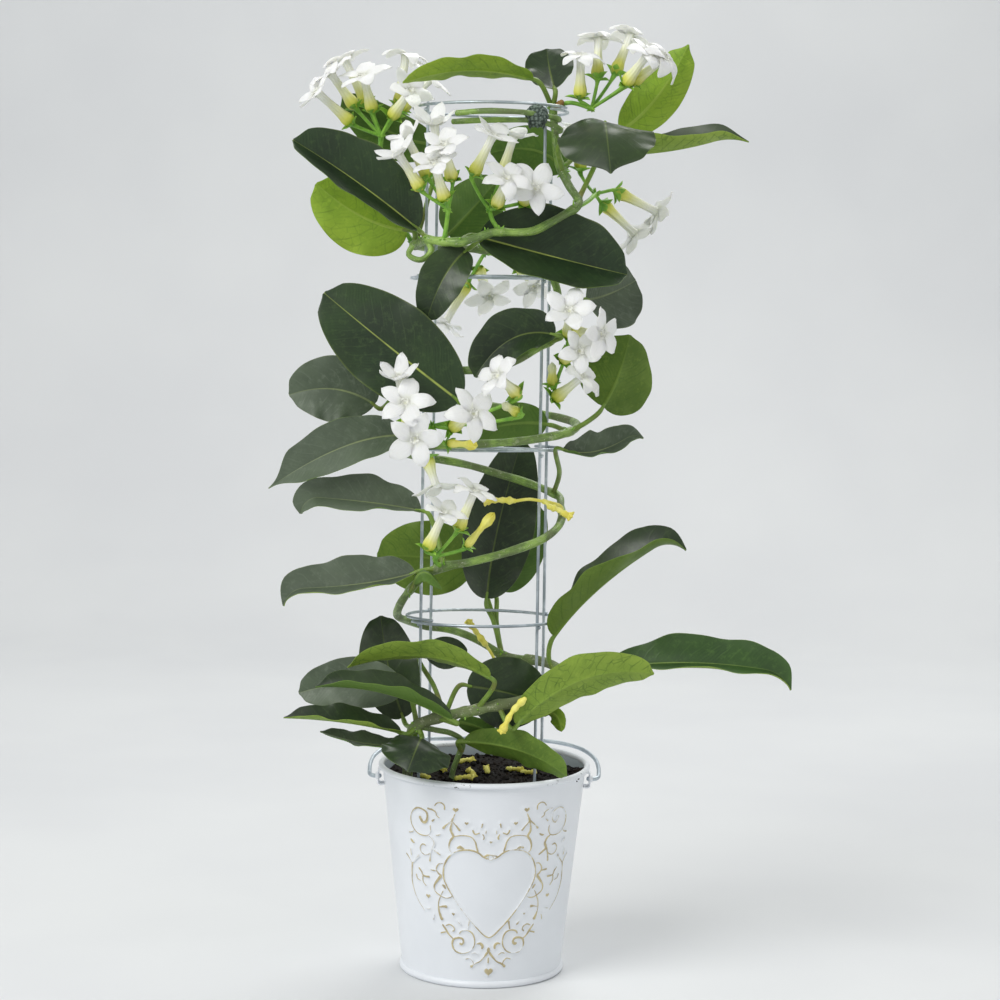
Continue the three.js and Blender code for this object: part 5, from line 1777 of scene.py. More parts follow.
    def _lobe(self, foot: Array, turn: Array, length: float, lobe: int, bloom: Bloom) -> None:
        """Adds one plump pointed lobe that lies on its neighbour's edge.

        Args:
            foot: where the tube starts.
            turn: the turn from upright to the flower's axis.
            length: the tube's length.
            lobe: the lobe's number, from 0.
            bloom: the flower.
        """
        rng = self.rng
        share = np.linspace(0, 1, self.lobe_rows)
        share = 0.5 * share + 0.5 * (1 - np.cos(math.pi * share)) / 2
        row = share[:, None]
        lanes = np.array(self.lobe_lanes)
        lane = lanes[None]
        scale = (bloom.size / 19) ** 0.7
        swell = share ** rng.uniform(0.58, 0.68) * np.clip(1 - share, 0, 1) ** rng.uniform(0.56, 0.72) / 0.43
        half = 2.3 * (1 - share) ** 3 + self.lobe_half * scale * rng.uniform(0.92, 1.04) * swell
        half = np.maximum(half, 0.04)
        reach = 1.7 + (bloom.size - 1.9) * rng.uniform(0.93, 1.0) * share
        arch = rng.uniform(0.7, 2.0) * np.sin(math.pi * np.clip(share * 0.9, 0, 1))
        rise = arch + (bloom.lean + rng.uniform(-1.8, 1.2)) * share ** 2
        rise = rise - rng.uniform(0.2, 2.4) * ease(0.72, 1, share)
        cupped = -rng.uniform(0.1, 1.3) * np.sin(math.pi * np.clip(share * 0.9 + 0.08, 0, 1))
        twist = rng.uniform(0.45, 0.95) * (1 - share) ** 0.7 + rng.uniform(-0.9, 0.9) * share ** 1.5
        groove = -0.55 * np.exp(-(lanes / 0.18) ** 2) - 0.3 * np.exp(-((np.abs(lanes) - 0.5) / 0.15) ** 2)
        x = widened(reach, len(lanes)) - 0.5 * (lanes ** 2)[None] * row
        y = half[:, None] * lanes
        z = (rise[:, None] + cupped[:, None] * (np.abs(lanes) ** 2.2)[None] + twist[:, None] * lane
             + groove[None] * np.sin(math.pi * row) * 0.7)
        flutter = rng.uniform(-0.4, 0.4) * np.sin(row * 5 + rng.uniform(0, 6)) * lane
        sway = rng.uniform(-1.4, 1.4) * row ** 2
        spin = np.array(Matrix.Rotation(TURN * lobe / self.parts + rng.uniform(-0.06, 0.06), 3, "Z"))
        thick = self.lobe_thick * np.sqrt(np.clip(1.0 - np.abs(lane) ** 2.6, 0, 1))
        thick = thick * np.clip((1 - row) * 9, 0, 1) ** 0.5
        petal = np.stack([widened(share, len(lanes)), np.broadcast_to(lanes / 2, y.shape),
                          np.full(y.shape, lobe * 1.7 + rng.uniform(0, 5))], axis=-1)
        for depth, back in ((0.0, True), (1.0, False)):
            grid = np.stack([x, y + sway, z + flutter - depth * thick + length], axis=-1)
            self.sketch.sheet((grid @ spin.T) @ turn.T + foot, 0, back=back, petal=petal)

    def _bud(self, foot: Array, tip: Array) -> None:
        """Adds a closed bud with its stem and calyx.

        Args:
            foot: where its tube starts.
            tip: where it ends.
        """
        turn, length = self._seat(foot, tip, self.bud_scale)
        share = np.linspace(0, 1, 26)
        wide = np.interp(share, [0, 0.08, 0.25, 0.55, 0.72, 0.86, 1], [1.6, 2.9, 3.3, 2.2, 2.7, 2.2, 0.1])
        around = np.linspace(0, TURN, 20, endpoint=False)
        row = share[:, None]
        spiral = 1 + 0.09 * np.cos(5 * around + 4 * row) * ease(0.55, 0.8, row)
        self._skin(turned(wide, share * length, around, spiral), foot, turn, share * 0.55, around)

    def _wilted(self, foot: Array, tip: Array) -> None:
        """Adds a withered flower with its stem and calyx: a soft yellow tube with a crumpled head.

        Args:
            foot: where its tube starts.
            tip: where it ends.
        """
        turn, length = self._seat(foot, tip, self.bud_scale)
        share = np.linspace(0, 1, 30)
        wide = np.interp(share, [0, 0.06, 0.18, 0.45, 0.62, 0.8, 0.94, 1],
                         [1.4, 2.3, 2.5, 1.7, 1.7, 2.8, 2.3, 0.1])
        around = np.linspace(0, TURN, 24, endpoint=False)
        row = share[:, None]
        creased = 1 + (0.06 + 0.2 * ease(0.6, 0.9, row)) * np.cos(5 * around + 2 * row)
        creased = creased + 0.05 * np.sin(9 * around + 14 * row)
        grid = turned(wide, share * length * 0.98 + 0.9 * ease(0.8, 1, share), around, creased)
        grid[..., 2] += (0.9 * ease(0.75, 0.95, share))[:, None] * np.cos(5 * around)[None]
        self.sketch.sheet(grid @ turn.T + foot, 3, ring=True, flesh=widened(0.75 * share, 24))


# ---- Lines of the ornament ----
# Strokes of the ornament's left half, set out on the front view: widths at start, middle and end in
# millimetres, then right and down of each point.
STROKES = {
    "heart": (0.9, 0.9, 0.7, 765, 541, 733, 524, 690, 490, 640, 472, 590, 468, 540, 475, 495, 495, 455,
        535, 428, 590, 420, 650, 430, 705, 455, 760, 500, 840, 560, 930, 620, 1010, 690, 1090, 740, 1140,
        775, 1157),
    "notch": (0.8, 1.3, 0.8, 735, 525, 760, 513, 790, 508),
    "corner scroll": (1.6, 0.6, 0.6, 238, 200, 248, 228, 265, 250, 285, 247, 298, 215, 290, 175, 262, 148,
        225, 137, 190, 152, 172, 195, 172, 245, 190, 295, 225, 335, 265, 352, 305, 350, 322, 320, 320, 275),
    "corner leaf": (0.6, 1.5, 0.9, 305, 352, 330, 375, 350, 415, 340, 455, 365, 480, 402, 508),
    "corner tail": (0.9, 0.7, 1, 335, 450, 322, 500, 318, 560),
    "side spiral": (0.6, 0.5, 0.8, 335, 460, 315, 497, 278, 505, 250, 480, 243, 445, 262, 420, 285, 432),
    "top stem": (0.9, 0.9, 0.6, 295, 140, 340, 155, 365, 175, 370, 197, 392, 218),
    "top hook": (0.5, 0.7, 0.7, 352, 125, 370, 102, 400, 98, 428, 118, 430, 156),
    "top bud": (1.1, 0.9, 0.6, 330, 245, 352, 228),
    "heart stem": (0.5, 0.7, 1.4, 512, 185, 500, 215, 487, 240),
    "left twig": (0.9, 0.7, 1.3, 487, 238, 445, 272, 415, 303),
    "right twig": (0.9, 0.7, 1.3, 487, 240, 525, 285, 553, 320),
    "shoulder": (1.3, 1.2, 0.6, 487, 245, 480, 318, 497, 362, 476, 395, 465, 435, 472, 470, 493, 492),
    "crown arc": (0.5, 0.6, 0.9, 497, 365, 545, 357, 600, 358, 642, 372, 668, 405, 680, 450, 690, 484),
    "heart bead": (0.8, 2, 0.8, 525, 455, 553, 448, 585, 462),
    "crown twig": (0.9, 0.8, 0.6, 648, 312, 668, 345, 705, 335),
    "crown stroke": (0.9, 0.7, 0.5, 727, 262, 718, 298),
    "crown hook": (0.5, 0.8, 0.8, 725, 345, 738, 368, 732, 390),
    "crown drop": (0.5, 0.6, 0.5, 755, 318, 751, 345),
    "edge dash": (0.9, 0.7, 0.5, 155, 326, 185, 322, 195, 308),
    "edge bud": (0.7, 1.7, 0.7, 168, 378, 182, 398, 198, 412),
    "edge twig a": (0.9, 0.6, 0.5, 135, 490, 160, 530, 180, 570),
    "edge twig b": (1, 0.9, 0.5, 168, 455, 178, 512),
    "edge twig c": (1.8, 1, 0.6, 232, 508, 208, 542, 183, 572),
    "edge stem": (1, 0.4, 0.3, 181, 565, 179, 640, 182, 720, 202, 800, 238, 880, 278, 942),
    "edge sprig": (1, 0.8, 1.1, 230, 603, 255, 640, 265, 665, 316, 680),
    "edge sprig curl": (0.7, 0.6, 0.4, 212, 655, 222, 688, 246, 708),
    "edge sprig tail": (0.8, 0.6, 0.5, 262, 668, 266, 712, 290, 750),
    "leaf dash": (0.5, 1.1, 0.7, 360, 353, 380, 352, 402, 342),
    "side hook": (0.5, 0.7, 1.3, 420, 575, 393, 575, 373, 596, 368, 622, 385, 650, 407, 670),
    "side twig": (1.1, 0.8, 0.5, 320, 620, 345, 627, 372, 632),
    "side scroll": (1.5, 0.8, 0.5, 407, 668, 372, 712, 352, 748, 358, 787, 395, 822, 440, 843, 480, 838,
        490, 824),
    "side bead": (0.8, 1.5, 0.8, 412, 742, 428, 752, 440, 775),
    "inner arc": (0.5, 0.6, 1.8, 420, 788, 400, 830, 385, 880, 388, 940, 400, 985, 415, 1018),
    "inner bud": (0.6, 1, 2, 390, 915, 428, 910, 452, 914),
    "drop a": (0.6, 0.8, 0.5, 355, 975, 343, 1018),
    "drop b": (0.5, 0.7, 0.5, 292, 930, 322, 928),
    "drop c": (0.6, 1.4, 0.5, 535, 1028, 547, 1042, 560, 1058),
    "link": (1.2, 0.7, 0.8, 622, 1025, 617, 1055, 610, 1092),
    "foot spiral": (0.9, 0.7, 1.4, 545, 1126, 560, 1105, 600, 1097, 640, 1115, 662, 1160, 660, 1215, 630,
        1260, 575, 1278, 520, 1262, 492, 1215, 500, 1170, 535, 1155, 570, 1165, 580, 1190, 566, 1206, 546,
        1200),
    "foot stem": (0.6, 1.2, 0.9, 500, 1166, 465, 1130, 440, 1088, 413, 1050),
    "foot curl": (0.5, 0.7, 0.8, 438, 1062, 470, 1052, 500, 1070, 508, 1094, 490, 1107),
    "foot dash": (0.8, 0.7, 0.6, 400, 1118, 445, 1108),
    "knot arm": (0.6, 1.6, 1, 678, 1206, 705, 1201, 725, 1223, 719, 1246),
    "knot": (1, 1.5, 1.2, 775, 1232, 768, 1250, 775, 1272),
    "knot leg": (1.4, 0.7, 1.5, 765, 1270, 735, 1308, 703, 1343, 662, 1362, 632, 1388),
    "knot curl": (0.5, 0.6, 0.7, 590, 1325, 624, 1318, 648, 1340, 656, 1364),
    "knot wisp": (0.4, 0.5, 0.4, 640, 1282, 665, 1275, 692, 1292),
    "knot drop": (0.5, 0.6, 0.4, 771, 1312, 770, 1358),
}
# Small hearts beside them, in millimetres: across, height and width.
HEARTS = ((-19.6, 109.4, 4.0), (-13.5, 101.6, 3.0), (-39.0, 54.3, 3.8), (-22.1, 45.4, 2.6))

# ---- Places of the plant's parts: points are (x, height, depth) on the elevation ----
LEAVES = (
    Leaf("leaf_crown_left", (22, 532, 2), (-16, 537, -12), (-54, 529, -22), 29, (108, 106), 5, 10, 1,
         ((34, 516, 15),), Upper.FRESH, Under.BRIGHT),
    Leaf("leaf_crown_back", (35, 527, 12), (32, 538, 26), (30, 550, 36), 30, (0, 0), 10, 10, 1,
         ((34, 516, 15),), Upper.DARK, Under.MID, 0, 0.1),
    Leaf("leaf_crown_right", (74, 503, 26), (95, 523, 26), (113, 554, 22), 29, (196, 178), 8, 10, 1,
         ((40, 480, 6), (56, 494, 24)), Upper.FRESH, Under.BRIGHT, 0, 0.12),
    Leaf("leaf_drooping_heart", (65, 508, -2), (66, 502, -30), (69, 478, -48), 58, (0, 0), -6, -12, 1.5,
         ((50, 463, -8), (60, 484, 8), (66, 500, 16)), Upper.DARK, Under.MID, 0, 0.17),
    Leaf("leaf_long_right", (42, 493, -4), (94, 491, -2), (149, 505, -6), 30, (-96, -62), 30, 30, 1,
         ((40, 478, 4),), Upper.DARK, Under.PALE, 35, 0.14),
    Leaf("leaf_back_top", (42, 479, 34), (24, 491, 32), (-2, 489, 26), 31, (186, 176), 8, 10, 1,
         ((38, 482, 8),), Upper.DARK, Under.MID),
    Leaf("leaf_big_left", (-44, 444, -12), (-80, 471, -18), (-118, 495, -18), 48, (34, 30), 30, 12, 1,
         ((-38, 438, -18),), Upper.RIBBED, Under.MID),
    Leaf("leaf_bright_left", (-50, 443, 6), (-77, 451, 8), (-104, 470, 6), 44, (176, 184), 8, 12, 1.5,
         ((-45, 433, 4),), Upper.FRESH, Under.BRIGHT),
    Leaf("leaf_back_left", (-34, 494, 34), (-60, 500, 34), (-89, 521, 28), 30, (190, 180), 8, 12, 1,
         ((-44, 434, 32), (-38, 462, 36)), Upper.DARK, Under.MID),
    Leaf("leaf_centre_back", (-26, 441, 14), (-13, 455, 16), (3, 474, 14), 36, (180, 180), 8, 10, 1,
         ((-34, 437, -10),), Upper.DARK, Under.MID),
    Leaf("leaf_dark_right", (-8, 440, -14), (36, 429, -14), (80, 419, -12), 58, (-28, -24), 22, 16, 1.5,
         ((-20, 437, -20),), Upper.RIBBED, Under.MID),
    Leaf("leaf_grey_right", (56, 404, 8), (70, 408, 26), (85, 416, 40), 46, (0, 10), 8, 10, 1,
         ((47, 392, 12),), Upper.GREY, Under.MID),
    Leaf("leaf_drooping_centre", (-15, 432, -18), (-28, 416, -28), (-38, 390, -26), 28, (10, 10), 10, 8, 1,
         ((-4, 441, -26),), Upper.DARK, Under.PALE),
    Leaf("leaf_dark_left", (-18, 343, -38), (-59, 374, -36), (-99, 406, -30), 55, (8, 8), 5, 8, 1,
         ((-22, 360, -31),), Upper.RIBBED, Under.MID),
    Leaf("leaf_grey_left", (-68, 340, -16), (-92, 349, -16), (-119, 345, -14), 40, (0, 0), 8, 6, 1,
         ((-50, 352, 2), (-58, 344, -8)), Upper.GREY, Under.MID),
    Leaf("leaf_pointing_left", (-52, 322, -26), (-88, 314, -30), (-131, 289, -28), 33, (12, 20), 20, 16, 1.5,
         ((-46, 315, -16),), Upper.GREY, Under.MID, 0, 0.22),
    Leaf("leaf_wavy_upper", (-40, 277, -29), (-74, 282, -32), (-117, 285, -34), 32, (58, 22), 24, 20, 1.6,
         ((-28, 248, -39), (-32, 268, -30)), Upper.GREY, Under.MID, 95),
    Leaf("leaf_round_back", (-8, 244, 68), (-35, 249, 70), (-66, 250, 64), 47, (180, 180), 6, 8, 1,
         ((10, 192, 51), (5, 211, 57), (-1, 230, 66)), Upper.FRESH, Under.LUSH),
    Leaf("leaf_wavy_lower", (-42.5, 240, -38), (-80, 232, -40), (-127, 229, -40), 34, (48, 40), 24, 24, 1.4,
         ((-29, 243, -37),), Upper.GREY, Under.PALE, 80, 0.12),
    Leaf("leaf_upright_back", (0, 225, 57), (6, 268, 62), (20, 322, 66), 46, (8, 8), 12, 14, 1,
         ((10, 192, 51), (4, 212, 54)), Upper.DARK, Under.MID),
    Leaf("leaf_twisted_right", (44, 315, -20), (66, 315, -16), (90, 329, -16), 24, (-50, -20), 26, 30, 2,
         ((38, 289, 44), (42, 301, 10)), Upper.GREY, Under.MID, 65, 0.12),
    Leaf("leaf_round_right", (67, 341, -4), (76, 360, 4), (82, 384, 12), 50, (186, 196), 14, 12, 1.5,
         ((48, 326, -14), (58, 332, -10)), Upper.DARK, Under.LUSH),
    Leaf("leaf_dark_centre", (38, 383, -34), (12, 380, -38), (-9, 357, -42), 34, (24, 14), 20, 20, 1.5,
         ((34, 379, -24),), Upper.DARK, Under.MID),
    Leaf("leaf_green_centre", (34, 330, -6), (14, 330, -6), (-10, 324, -8), 26, (180, 180), 8, 10, 1,
         ((46, 325, -16),), Upper.DARK, Under.MID),
    Leaf("leaf_fold_right", (41, 203, -18), (72, 237, -24), (117, 268, -24), 38, (-112, -52), 32, 24, 1.5,
         ((43, 174, -20), (38, 188, -18)), Upper.DARK, Under.LUSH, 75, 0.1),
    Leaf("leaf_pale_low_right", (19, 149, -52), (58, 177, -56), (101, 181, -50), 30, (-150, -146), 8, 12, 1,
         ((8, 160, -45),), Upper.DARK, Under.PALE),
    Leaf("leaf_far_right", (74, 184, -8), (130, 188, -14), (188, 181, -16), 34, (-48, -40), 24, 30, 2,
         ((46, 178, -4),), Upper.LEAFY, Under.PALE, 60, 0.1),
    Leaf("leaf_upright_left", (-49, 152, -24), (-58, 182, -22), (-63, 214, -12), 36, (4, 8), 10, 10, 1,
         ((-41, 145, -38),), Upper.DARK, Under.MID),
    Leaf("leaf_pale_arch", (2, 177, -56), (-38, 190, -60), (-83, 182, -54), 30, (118, 112), 8, 14, 1,
         ((-4, 157, -45),), Upper.DARK, Under.PALE, 0, 0.1),
    Leaf("leaf_grey_low_left", (-50, 168, -33), (-80, 172, -34), (-112, 166, -30), 32, (16, 14), 10, 8, 1,
         ((-41, 147, -40),), Upper.GREY, Under.MID),
    Leaf("leaf_dark_low_left", (-20, 151, -58), (-60, 167, -62), (-102, 170, -60), 26, (84, 58), 30, 30, 1,
         ((-28, 152, -42),), Upper.DARK, Under.MID, 0, 0.1),
    Leaf("leaf_low_upper", (-50, 143, -44), (-85, 149, -54), (-121, 151, -54), 22, (66, 66), 26, 20, 1,
         ((-41, 146, -40),), Upper.DARK, Under.PALE, 0, 0.14),
    Leaf("leaf_over_rim_left", (-38, 140, -47), (-41, 133, -62), (-46, 119, -72), 42, (15, 8), -6, -12, 2,
         ((-40, 146, -40),), Upper.DARK, Under.MID, 0, 0.12),
    Leaf("leaf_over_rim_right", (-12, 138, -32), (22, 133, -47), (50, 118, -62), 24, (-150, -140), 6, 16, 1,
         ((-14, 133, -24),), Upper.DARK, Under.LUSH),
    Leaf("leaf_dark_low_centre", (-11, 172, -30), (14, 168, -31), (36, 161, -29.3), 43, (0, 0), 2, 4, 0.5,
         ((-24, 155, -42),), Upper.DARK, Under.MID),
)
SMALL_LEAVES = (
    Leaf("small_low_left", (-44, 134, -44), (-72, 136, -47), (-99, 143, -46), 16, (62, 62), 16, 16, 1,
         ((-40, 142, -36),), Upper.GREY, Under.MID, 0, 0.12),
    Leaf("small_green_back", (8, 231, 66), (20, 252, 72), (30, 282, 74), 28, (180, 180), 8, 10, 1,
         ((10, 192, 51), (6, 212, 58), (6, 224, 64)), Upper.DARK, Under.MID),
    Leaf("small_curled_left", (-44, 233, -42), (-37, 240, -44), (-27, 230, -46), 12, (130, 120), 10, 30, 0,
         ((-48, 229, -22),), Upper.DARK, Under.MID),
    Leaf("small_dark_left", (-36, 190, -6), (-24, 192, -4), (-11, 190, -2), 20, (0, 0), 8, 10, 0,
         ((-24, 154, -43), (-31, 172, -16)), Upper.DARK, Under.MID),
    Leaf("small_green_right", (38, 156, -10), (43, 154, -14), (46, 145, -16), 10, (180, 180), 10, 10, 0,
         ((44, 175, -12),), Upper.DARK, Under.BRIGHT),
    Leaf("small_low_centre", (-16, 150, -27), (-4, 147, -24), (9, 141, -22), 11, (180, 180), 10, 10, 0,
         ((-12, 156, -44),), Upper.DARK, Under.MID),
)
LOW_VINE = (
    (-46, 98, -8), (-46, 118, -12), (-45, 136, -26), (-41, 147, -38), (-30, 152, -42), (-20, 154.5, -44),
    (-8, 157, -45), (5, 160, -45), (20, 163, -43), (34, 168.5, -37), (46, 173.5, -22), (48, 179, 0),
    (44, 183, 24), (36, 187, 40), (24, 189, 46),
)
MIDDLE_VINE = (
    (32, 188, 44), (20, 189, 47), (10, 191, 47), (0, 197, 47), (-12, 203, 47), (-24, 206.5, 50),
    (-36, 208, 47), (-47, 211, 32), (-53, 214, 12), (-52, 220, -6), (-47, 228, -19), (-40, 236, -27),
    (-29, 243, -37), (-10, 247, -43), (5, 251, -42), (20, 256, -37), (32, 261, -29), (41, 268, -14),
    (44, 275, 4), (43, 281, 24), (42, 287, 40), (34, 291, 48), (20, 296, 50), (6, 300, 48),
    (-8, 304, 49), (-22, 307, 52), (-36, 309, 50), (-49, 311, 32), (-54, 313, 10), (-49, 315, -12),
    (-38, 316, -27), (-25, 317, -34), (-10, 317.5, -38), (5, 318.5, -38), (20, 320, -36), (32, 322, -32),
    (42, 324, -24), (50, 327, -8), (52, 330, 10), (46, 333, 32), (32, 336, 48), (10, 339, 56),
    (-10, 342, 57), (-30, 345, 52), (-46, 349, 36), (-53, 353, 12), (-49, 357, -8), (-36, 360, -24),
    (-20, 361, -31), (-5, 362, -33), (6, 364, -33), (16, 368, -32), (26, 374, -30), (36, 380, -22),
    (45, 386, -4), (48, 389, 14), (45, 393, 32), (40, 402, 46), (38, 412, 52), (32, 421, 58),
    (18, 428, 67), (2, 432, 71), (-16, 433, 69), (-32, 433, 60), (-43, 434, 42), (-46, 434.5, 22),
    (-45, 435, 0), (-38, 438, -18),
)
TOP_VINE = (
    (-38, 438, -18), (-28, 437, -24), (-18, 437, -26), (-8, 440, -26), (2, 443, -26), (14, 443, -26),
    (24, 444, -26), (34, 449, -24), (44, 455, -20), (50, 459, -14), (50, 463, -8), (45, 470, -2),
    (40, 480, 6), (37, 490, 12), (36, 500, 15), (35, 509, 15), (34, 517, 15),
)
SIDE_STEMS = (
    (
        (35, 511, 15), (38, 509, 2), (36, 510, -8), (28, 511.5, -15), (18, 513, -21),
        (6, 513.5, -25), (-6, 513.5, -25), (-22, 512, -22),
    ),
    (
        (36, 502, 15), (39, 503, 0), (36, 505, -10), (26, 508, -14), (8, 508.5, -18),
        (-8, 508, -18), (-24, 507, -14),
    ),
    (
        (-38, 438, -18), (-36, 431, -20), (-42, 426, -22), (-49, 429, -22), (-47, 434, -22),
    ),
    (
        (-20, 100, -22), (-19, 119, -22), (-16, 128, -22), (-13, 138, -24), (-20, 143, -30),
        (-30, 145, -36), (-40, 147, -38),
    ),
)
CLUSTERS = (
    Cluster("flowers_top_left", ((-45, 430, 22), (-56, 452, 30), (-66, 486, 20)), (-66, 498, 14), (
        Bloom((-83, 505, 10), (-104, 523, 2), 3, 16),
        Bloom((-81, 514, 14), (-96, 534, 12), 3, 16),
        Bloom((-71, 512, 12), (-77, 533, 4), 1, 18),
        Bloom((-74, 515, 24), (-88, 542, 30), 0, 17),
        Bloom((-60, 509, 10), (-49, 525, -8), 3, 16),
        Bloom((-56, 515, 28), (-52, 546, 30), -4, 17),
        Bloom((-55, 513, 24), (-37, 532, 22), 1, 17),
    )),
    Cluster("flowers_left", ((-29, 438, -24), (-27, 447, -28)), (-26, 456, -32), (
        Bloom((-42, 467, -36), (-56, 488, -44), 7, 14),
        Bloom((-38, 474, -26), (-51, 497, -30), 8, 13),
        Bloom((-32, 483, -24), (-35, 506, -32), 9, 14),
        Bloom((-24, 473, -38), (-29, 494, -53), 3, 15),
        Bloom((-28, 461, -44), (-35, 483, -58), 4, 15),
    )),
    Cluster("flowers_centre", ((4, 443, -26), (0, 450, -22)), (-2, 456, -18), (
        Bloom((-12, 476, -24), (0, 500, -32), 4, 16),
        Bloom((4, 474, -8), (12, 500, -10), 5, 14),
        Bloom((2, 458, -28), (8, 475, -44), 0, 17),
        Bloom((18, 461, -12), (25, 469, -34), 2, 18),
    )),
    Cluster("flowers_top_right", ((34, 516, 15), (44, 519, 12)), (57, 516, 10), (
        Bloom((50, 522, 8), (50, 547, 1), -3, 15),
        Bloom((60, 533, 14), (60, 557, 21), -2, 16),
        Bloom((76, 530, 6), (90, 549, -4), -2, 16),
        Bloom((70, 536, 28), (79, 559, 38), -2, 16),
        Bloom((80, 531, 10), (100, 546, 0), -5, 16),
    )),
    Cluster("flowers_right_back", ((47, 457, -17), (56, 462, 6)), (60, 466, 26), (
        Bloom((64, 461, 36), (84, 443, 48), 2, 16),
        Bloom((72, 468, 34), (97, 456, 42), 2, 16),
        Bloom((51, 480, 46), (51, 504, 46), 3, 16),
    )),
    Cluster("flowers_back", ((-6, 433, 70), (-5, 433, 76)), (-4, 431, 84), (
        Bloom((-14, 413, 94), (-27, 389, 86), 2, 16),
        Bloom((-8, 422, 98), (-1, 405, 80), 2, 17),
        Bloom((16, 424, 94), (25, 411, 78), 2, 16),
    )),
    Cluster("flowers_right", ((46, 386, 0), (47, 380, -8)), (45, 372, -12), (
        Bloom((46, 383, -20), (46, 398, -40), 3, 17),
        Bloom((48, 385, -24), (66, 384, -41), 1, 17),
        Bloom((43, 369, -18), (53, 374, -40), 2, 15),
        Bloom((38, 345, -12), (55, 359, -22), 2, 16),
    ), (((37, 353, -12), (36.5, 367, -14)),)),
    Cluster("flowers_centre_left", ((-38, 316, -27), (-36, 324, -34)), (-34, 328, -40), (
        Bloom((-50, 335, -50), (-54, 357, -61), 9, 13),
        Bloom((-48, 329, -52), (-50, 342, -74), 1, 18),
        Bloom((-42, 326, -56), (-44, 320, -80), 2, 18),
        Bloom((-22, 327, -46), (-9, 336, -66), -1, 18.5),
        Bloom((17, 347, -46), (4, 359, -60), 2, 15),
        Bloom((-37, 310, -38), (-31, 292, -42), 4, 16),
    ), (((-25, 318, -50), (-8, 317, -55)), ((18, 336, -43), (7, 342, -45)),), (0,)),
    Cluster("flowers_low", ((-29, 243, -41), (-31, 247, -46)), (-31, 250, -50), (
        Bloom((-36, 254, -54), (-26, 277, -63), 3, 15),
        Bloom((-18, 266, -54), (-8, 290, -60), 1, 15),
    ), (((-13, 256, -50), (3, 276, -54)),), (0,)),
)
FADED = (
    Cluster("faded", ((10, 191, 47), (8, 187, 42)), (6, 187, 40), (), (
        ((0, 197, 38), (-10, 210, 36)),)),
    Cluster("faded", ((44, 275, 4), (43, 281, -8)), (33, 284, -22), (), (
        ((16, 284, -28), (0, 284, -34)), ((36, 281, -24), (47, 276, -24)),)),
)

# Each stem of the vine: its points, its radius and how woody it is.
STEMS = (
    (LOW_VINE, 3.1, 0.55),
    (MIDDLE_VINE, 2.5, 0.25),
    (TOP_VINE, 2.4, 0.1),
    *((route, 1.7, 0.2) for route in SIDE_STEMS),
)


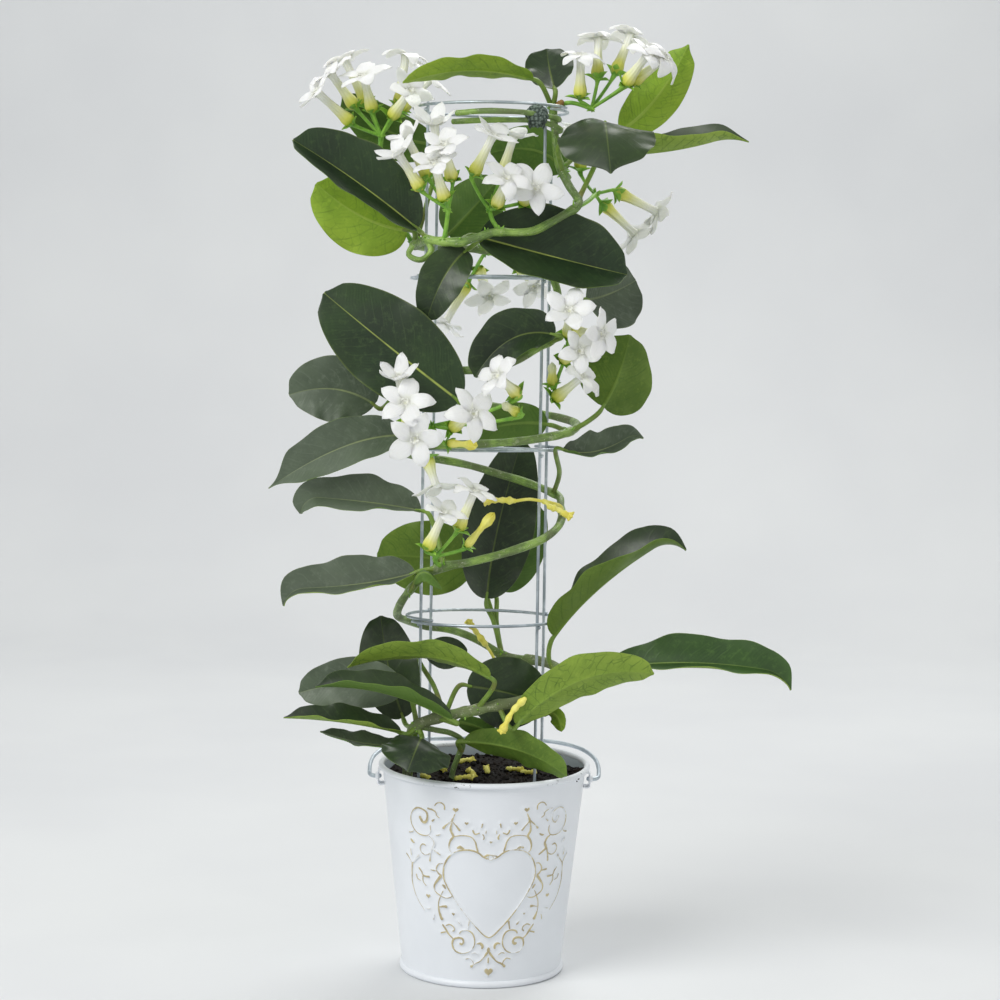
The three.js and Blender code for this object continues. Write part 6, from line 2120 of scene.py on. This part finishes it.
# ---- Studio ----
@dataclass
class Studio:
    """Pale floor that sweeps up behind the plant, soft lights and the camera."""

    floor_half: float = 3.0
    sweep_y: float = 1.1
    sweep_radius: float = 0.5
    wall_top: float = 2.6
    air: float = 0.43

    def build(self) -> None:
        """Makes floor, world, lights and camera."""
        self._floor()
        self._world()
        self._light("window", (-1.2, -1.2, 1.6), (0.0, 0.0, 0.3), 1.4, 31, (1.0, 0.995, 0.98))
        self._light("fill", (1.7, -0.9, 0.8), (0.0, 0.0, 0.3), 1.4, 6, (1.0, 0.99, 0.97))
        self._light("back", (0.4, 0.9, 1.5), (0.0, 0.0, 0.35), 1.0, 12, (1.0, 1.0, 0.98))
        self._camera()

    def _floor(self) -> None:
        """Makes the floor and its sweep."""
        turn = np.linspace(0, math.pi / 2, 14)[1:]
        bend = self.sweep_radius
        profile = [(-self.floor_half, 0.0), (self.sweep_y, 0.0)]
        profile += [(self.sweep_y + bend * math.sin(a), bend - bend * math.cos(a)) for a in turn]
        profile += [(self.sweep_y + bend, self.wall_top)]
        mesh = bpy.data.meshes.new("studio_floor")
        points = [(x, y, z) for y, z in profile for x in (-self.floor_half, self.floor_half)]
        faces = [(2 * i, 2 * i + 1, 2 * i + 3, 2 * i + 2) for i in range(len(profile) - 1)]
        mesh.from_pydata(points, [], faces)
        mesh.polygons.foreach_set("use_smooth", np.ones(len(faces), bool))
        mesh.materials.append(self._pale())
        floor = bpy.data.objects.new("studio_floor", mesh)
        bpy.context.scene.collection.objects.link(floor)

    def _pale(self) -> bpy.types.Material:
        """The floor's matt, faintly clouded paint."""
        material = bpy.data.materials.new("studio pale")
        material.use_nodes = True
        wiring = Wiring(material.node_tree)
        shade = material.node_tree.nodes["Principled BSDF"]
        clouds = wiring.noise(wiring.place(), 3, 3)
        colour = wiring.mix(wiring.band(clouds, 0.3, 0.7), paint("#d8dadc"), paint("#dee0e1"))
        material.node_tree.links.new(colour, shade.inputs["Base Color"])
        shade.inputs["Roughness"].default_value = 0.7
        return material

    def _world(self) -> None:
        """Sets the pale surroundings."""
        world = bpy.data.worlds.new("studio air")
        world.use_nodes = True
        sky = world.node_tree.nodes["Background"]
        sky.inputs["Color"].default_value = (0.95, 0.96, 0.965, 1)
        sky.inputs["Strength"].default_value = self.air
        bpy.context.scene.world = world
        bpy.context.scene.view_settings.view_transform = "Standard"

    def _light(self, name: str, place: Point, target: Point, size: float, power: float, colour: Point) -> None:
        """Hangs one soft light that looks at a point.

        Args:
            name: its name.
            place: where it hangs, in metres.
            target: the point that it looks at, in metres.
            size: its width, in metres.
            power: its power, in watts.
            colour: its red, green and blue.
        """
        lamp = bpy.data.lights.new(name, "AREA")
        lamp.shape = "DISK"
        lamp.size = size
        lamp.energy = power
        lamp.color = colour
        holder = bpy.data.objects.new(name, lamp)
        holder.location = place
        holder.rotation_euler = (Vector(target) - Vector(place)).to_track_quat("-Z", "Y").to_euler()
        bpy.context.scene.collection.objects.link(holder)

    def _camera(self) -> None:
        """Sets the camera in front, a little above the bucket."""
        lens = bpy.data.cameras.new("camera")
        lens.lens = LENS
        lens.sensor_width = FILM
        camera = bpy.data.objects.new("camera", lens)
        camera.matrix_world = (
            Matrix.Translation(EYE * MM) @ Matrix.Rotation(math.radians(90 - LOOK_DOWN), 4, "X")
            @ Matrix.Rotation(math.radians(TILT), 4, "Z"))
        bpy.context.scene.collection.objects.link(camera)
        bpy.context.scene.camera = camera


def main() -> None:
    """Builds the pot, the support and the plant, then the studio round them."""
    logging.basicConfig(level=logging.INFO, format="%(name)s: %(message)s")
    for part in (Bucket(Ornament()), Ears(), Handle(), Soil(), Support(), Tie(), Vine()):
        part.build()
    for leaf in LEAVES:
        LeafBlade(leaf).build(leaf.name)
    for number, cluster in enumerate(CLUSTERS):
        FlowerCluster(cluster, seed=100 + number).build()
    Studio().build()


if __name__ == "__main__":
    main()
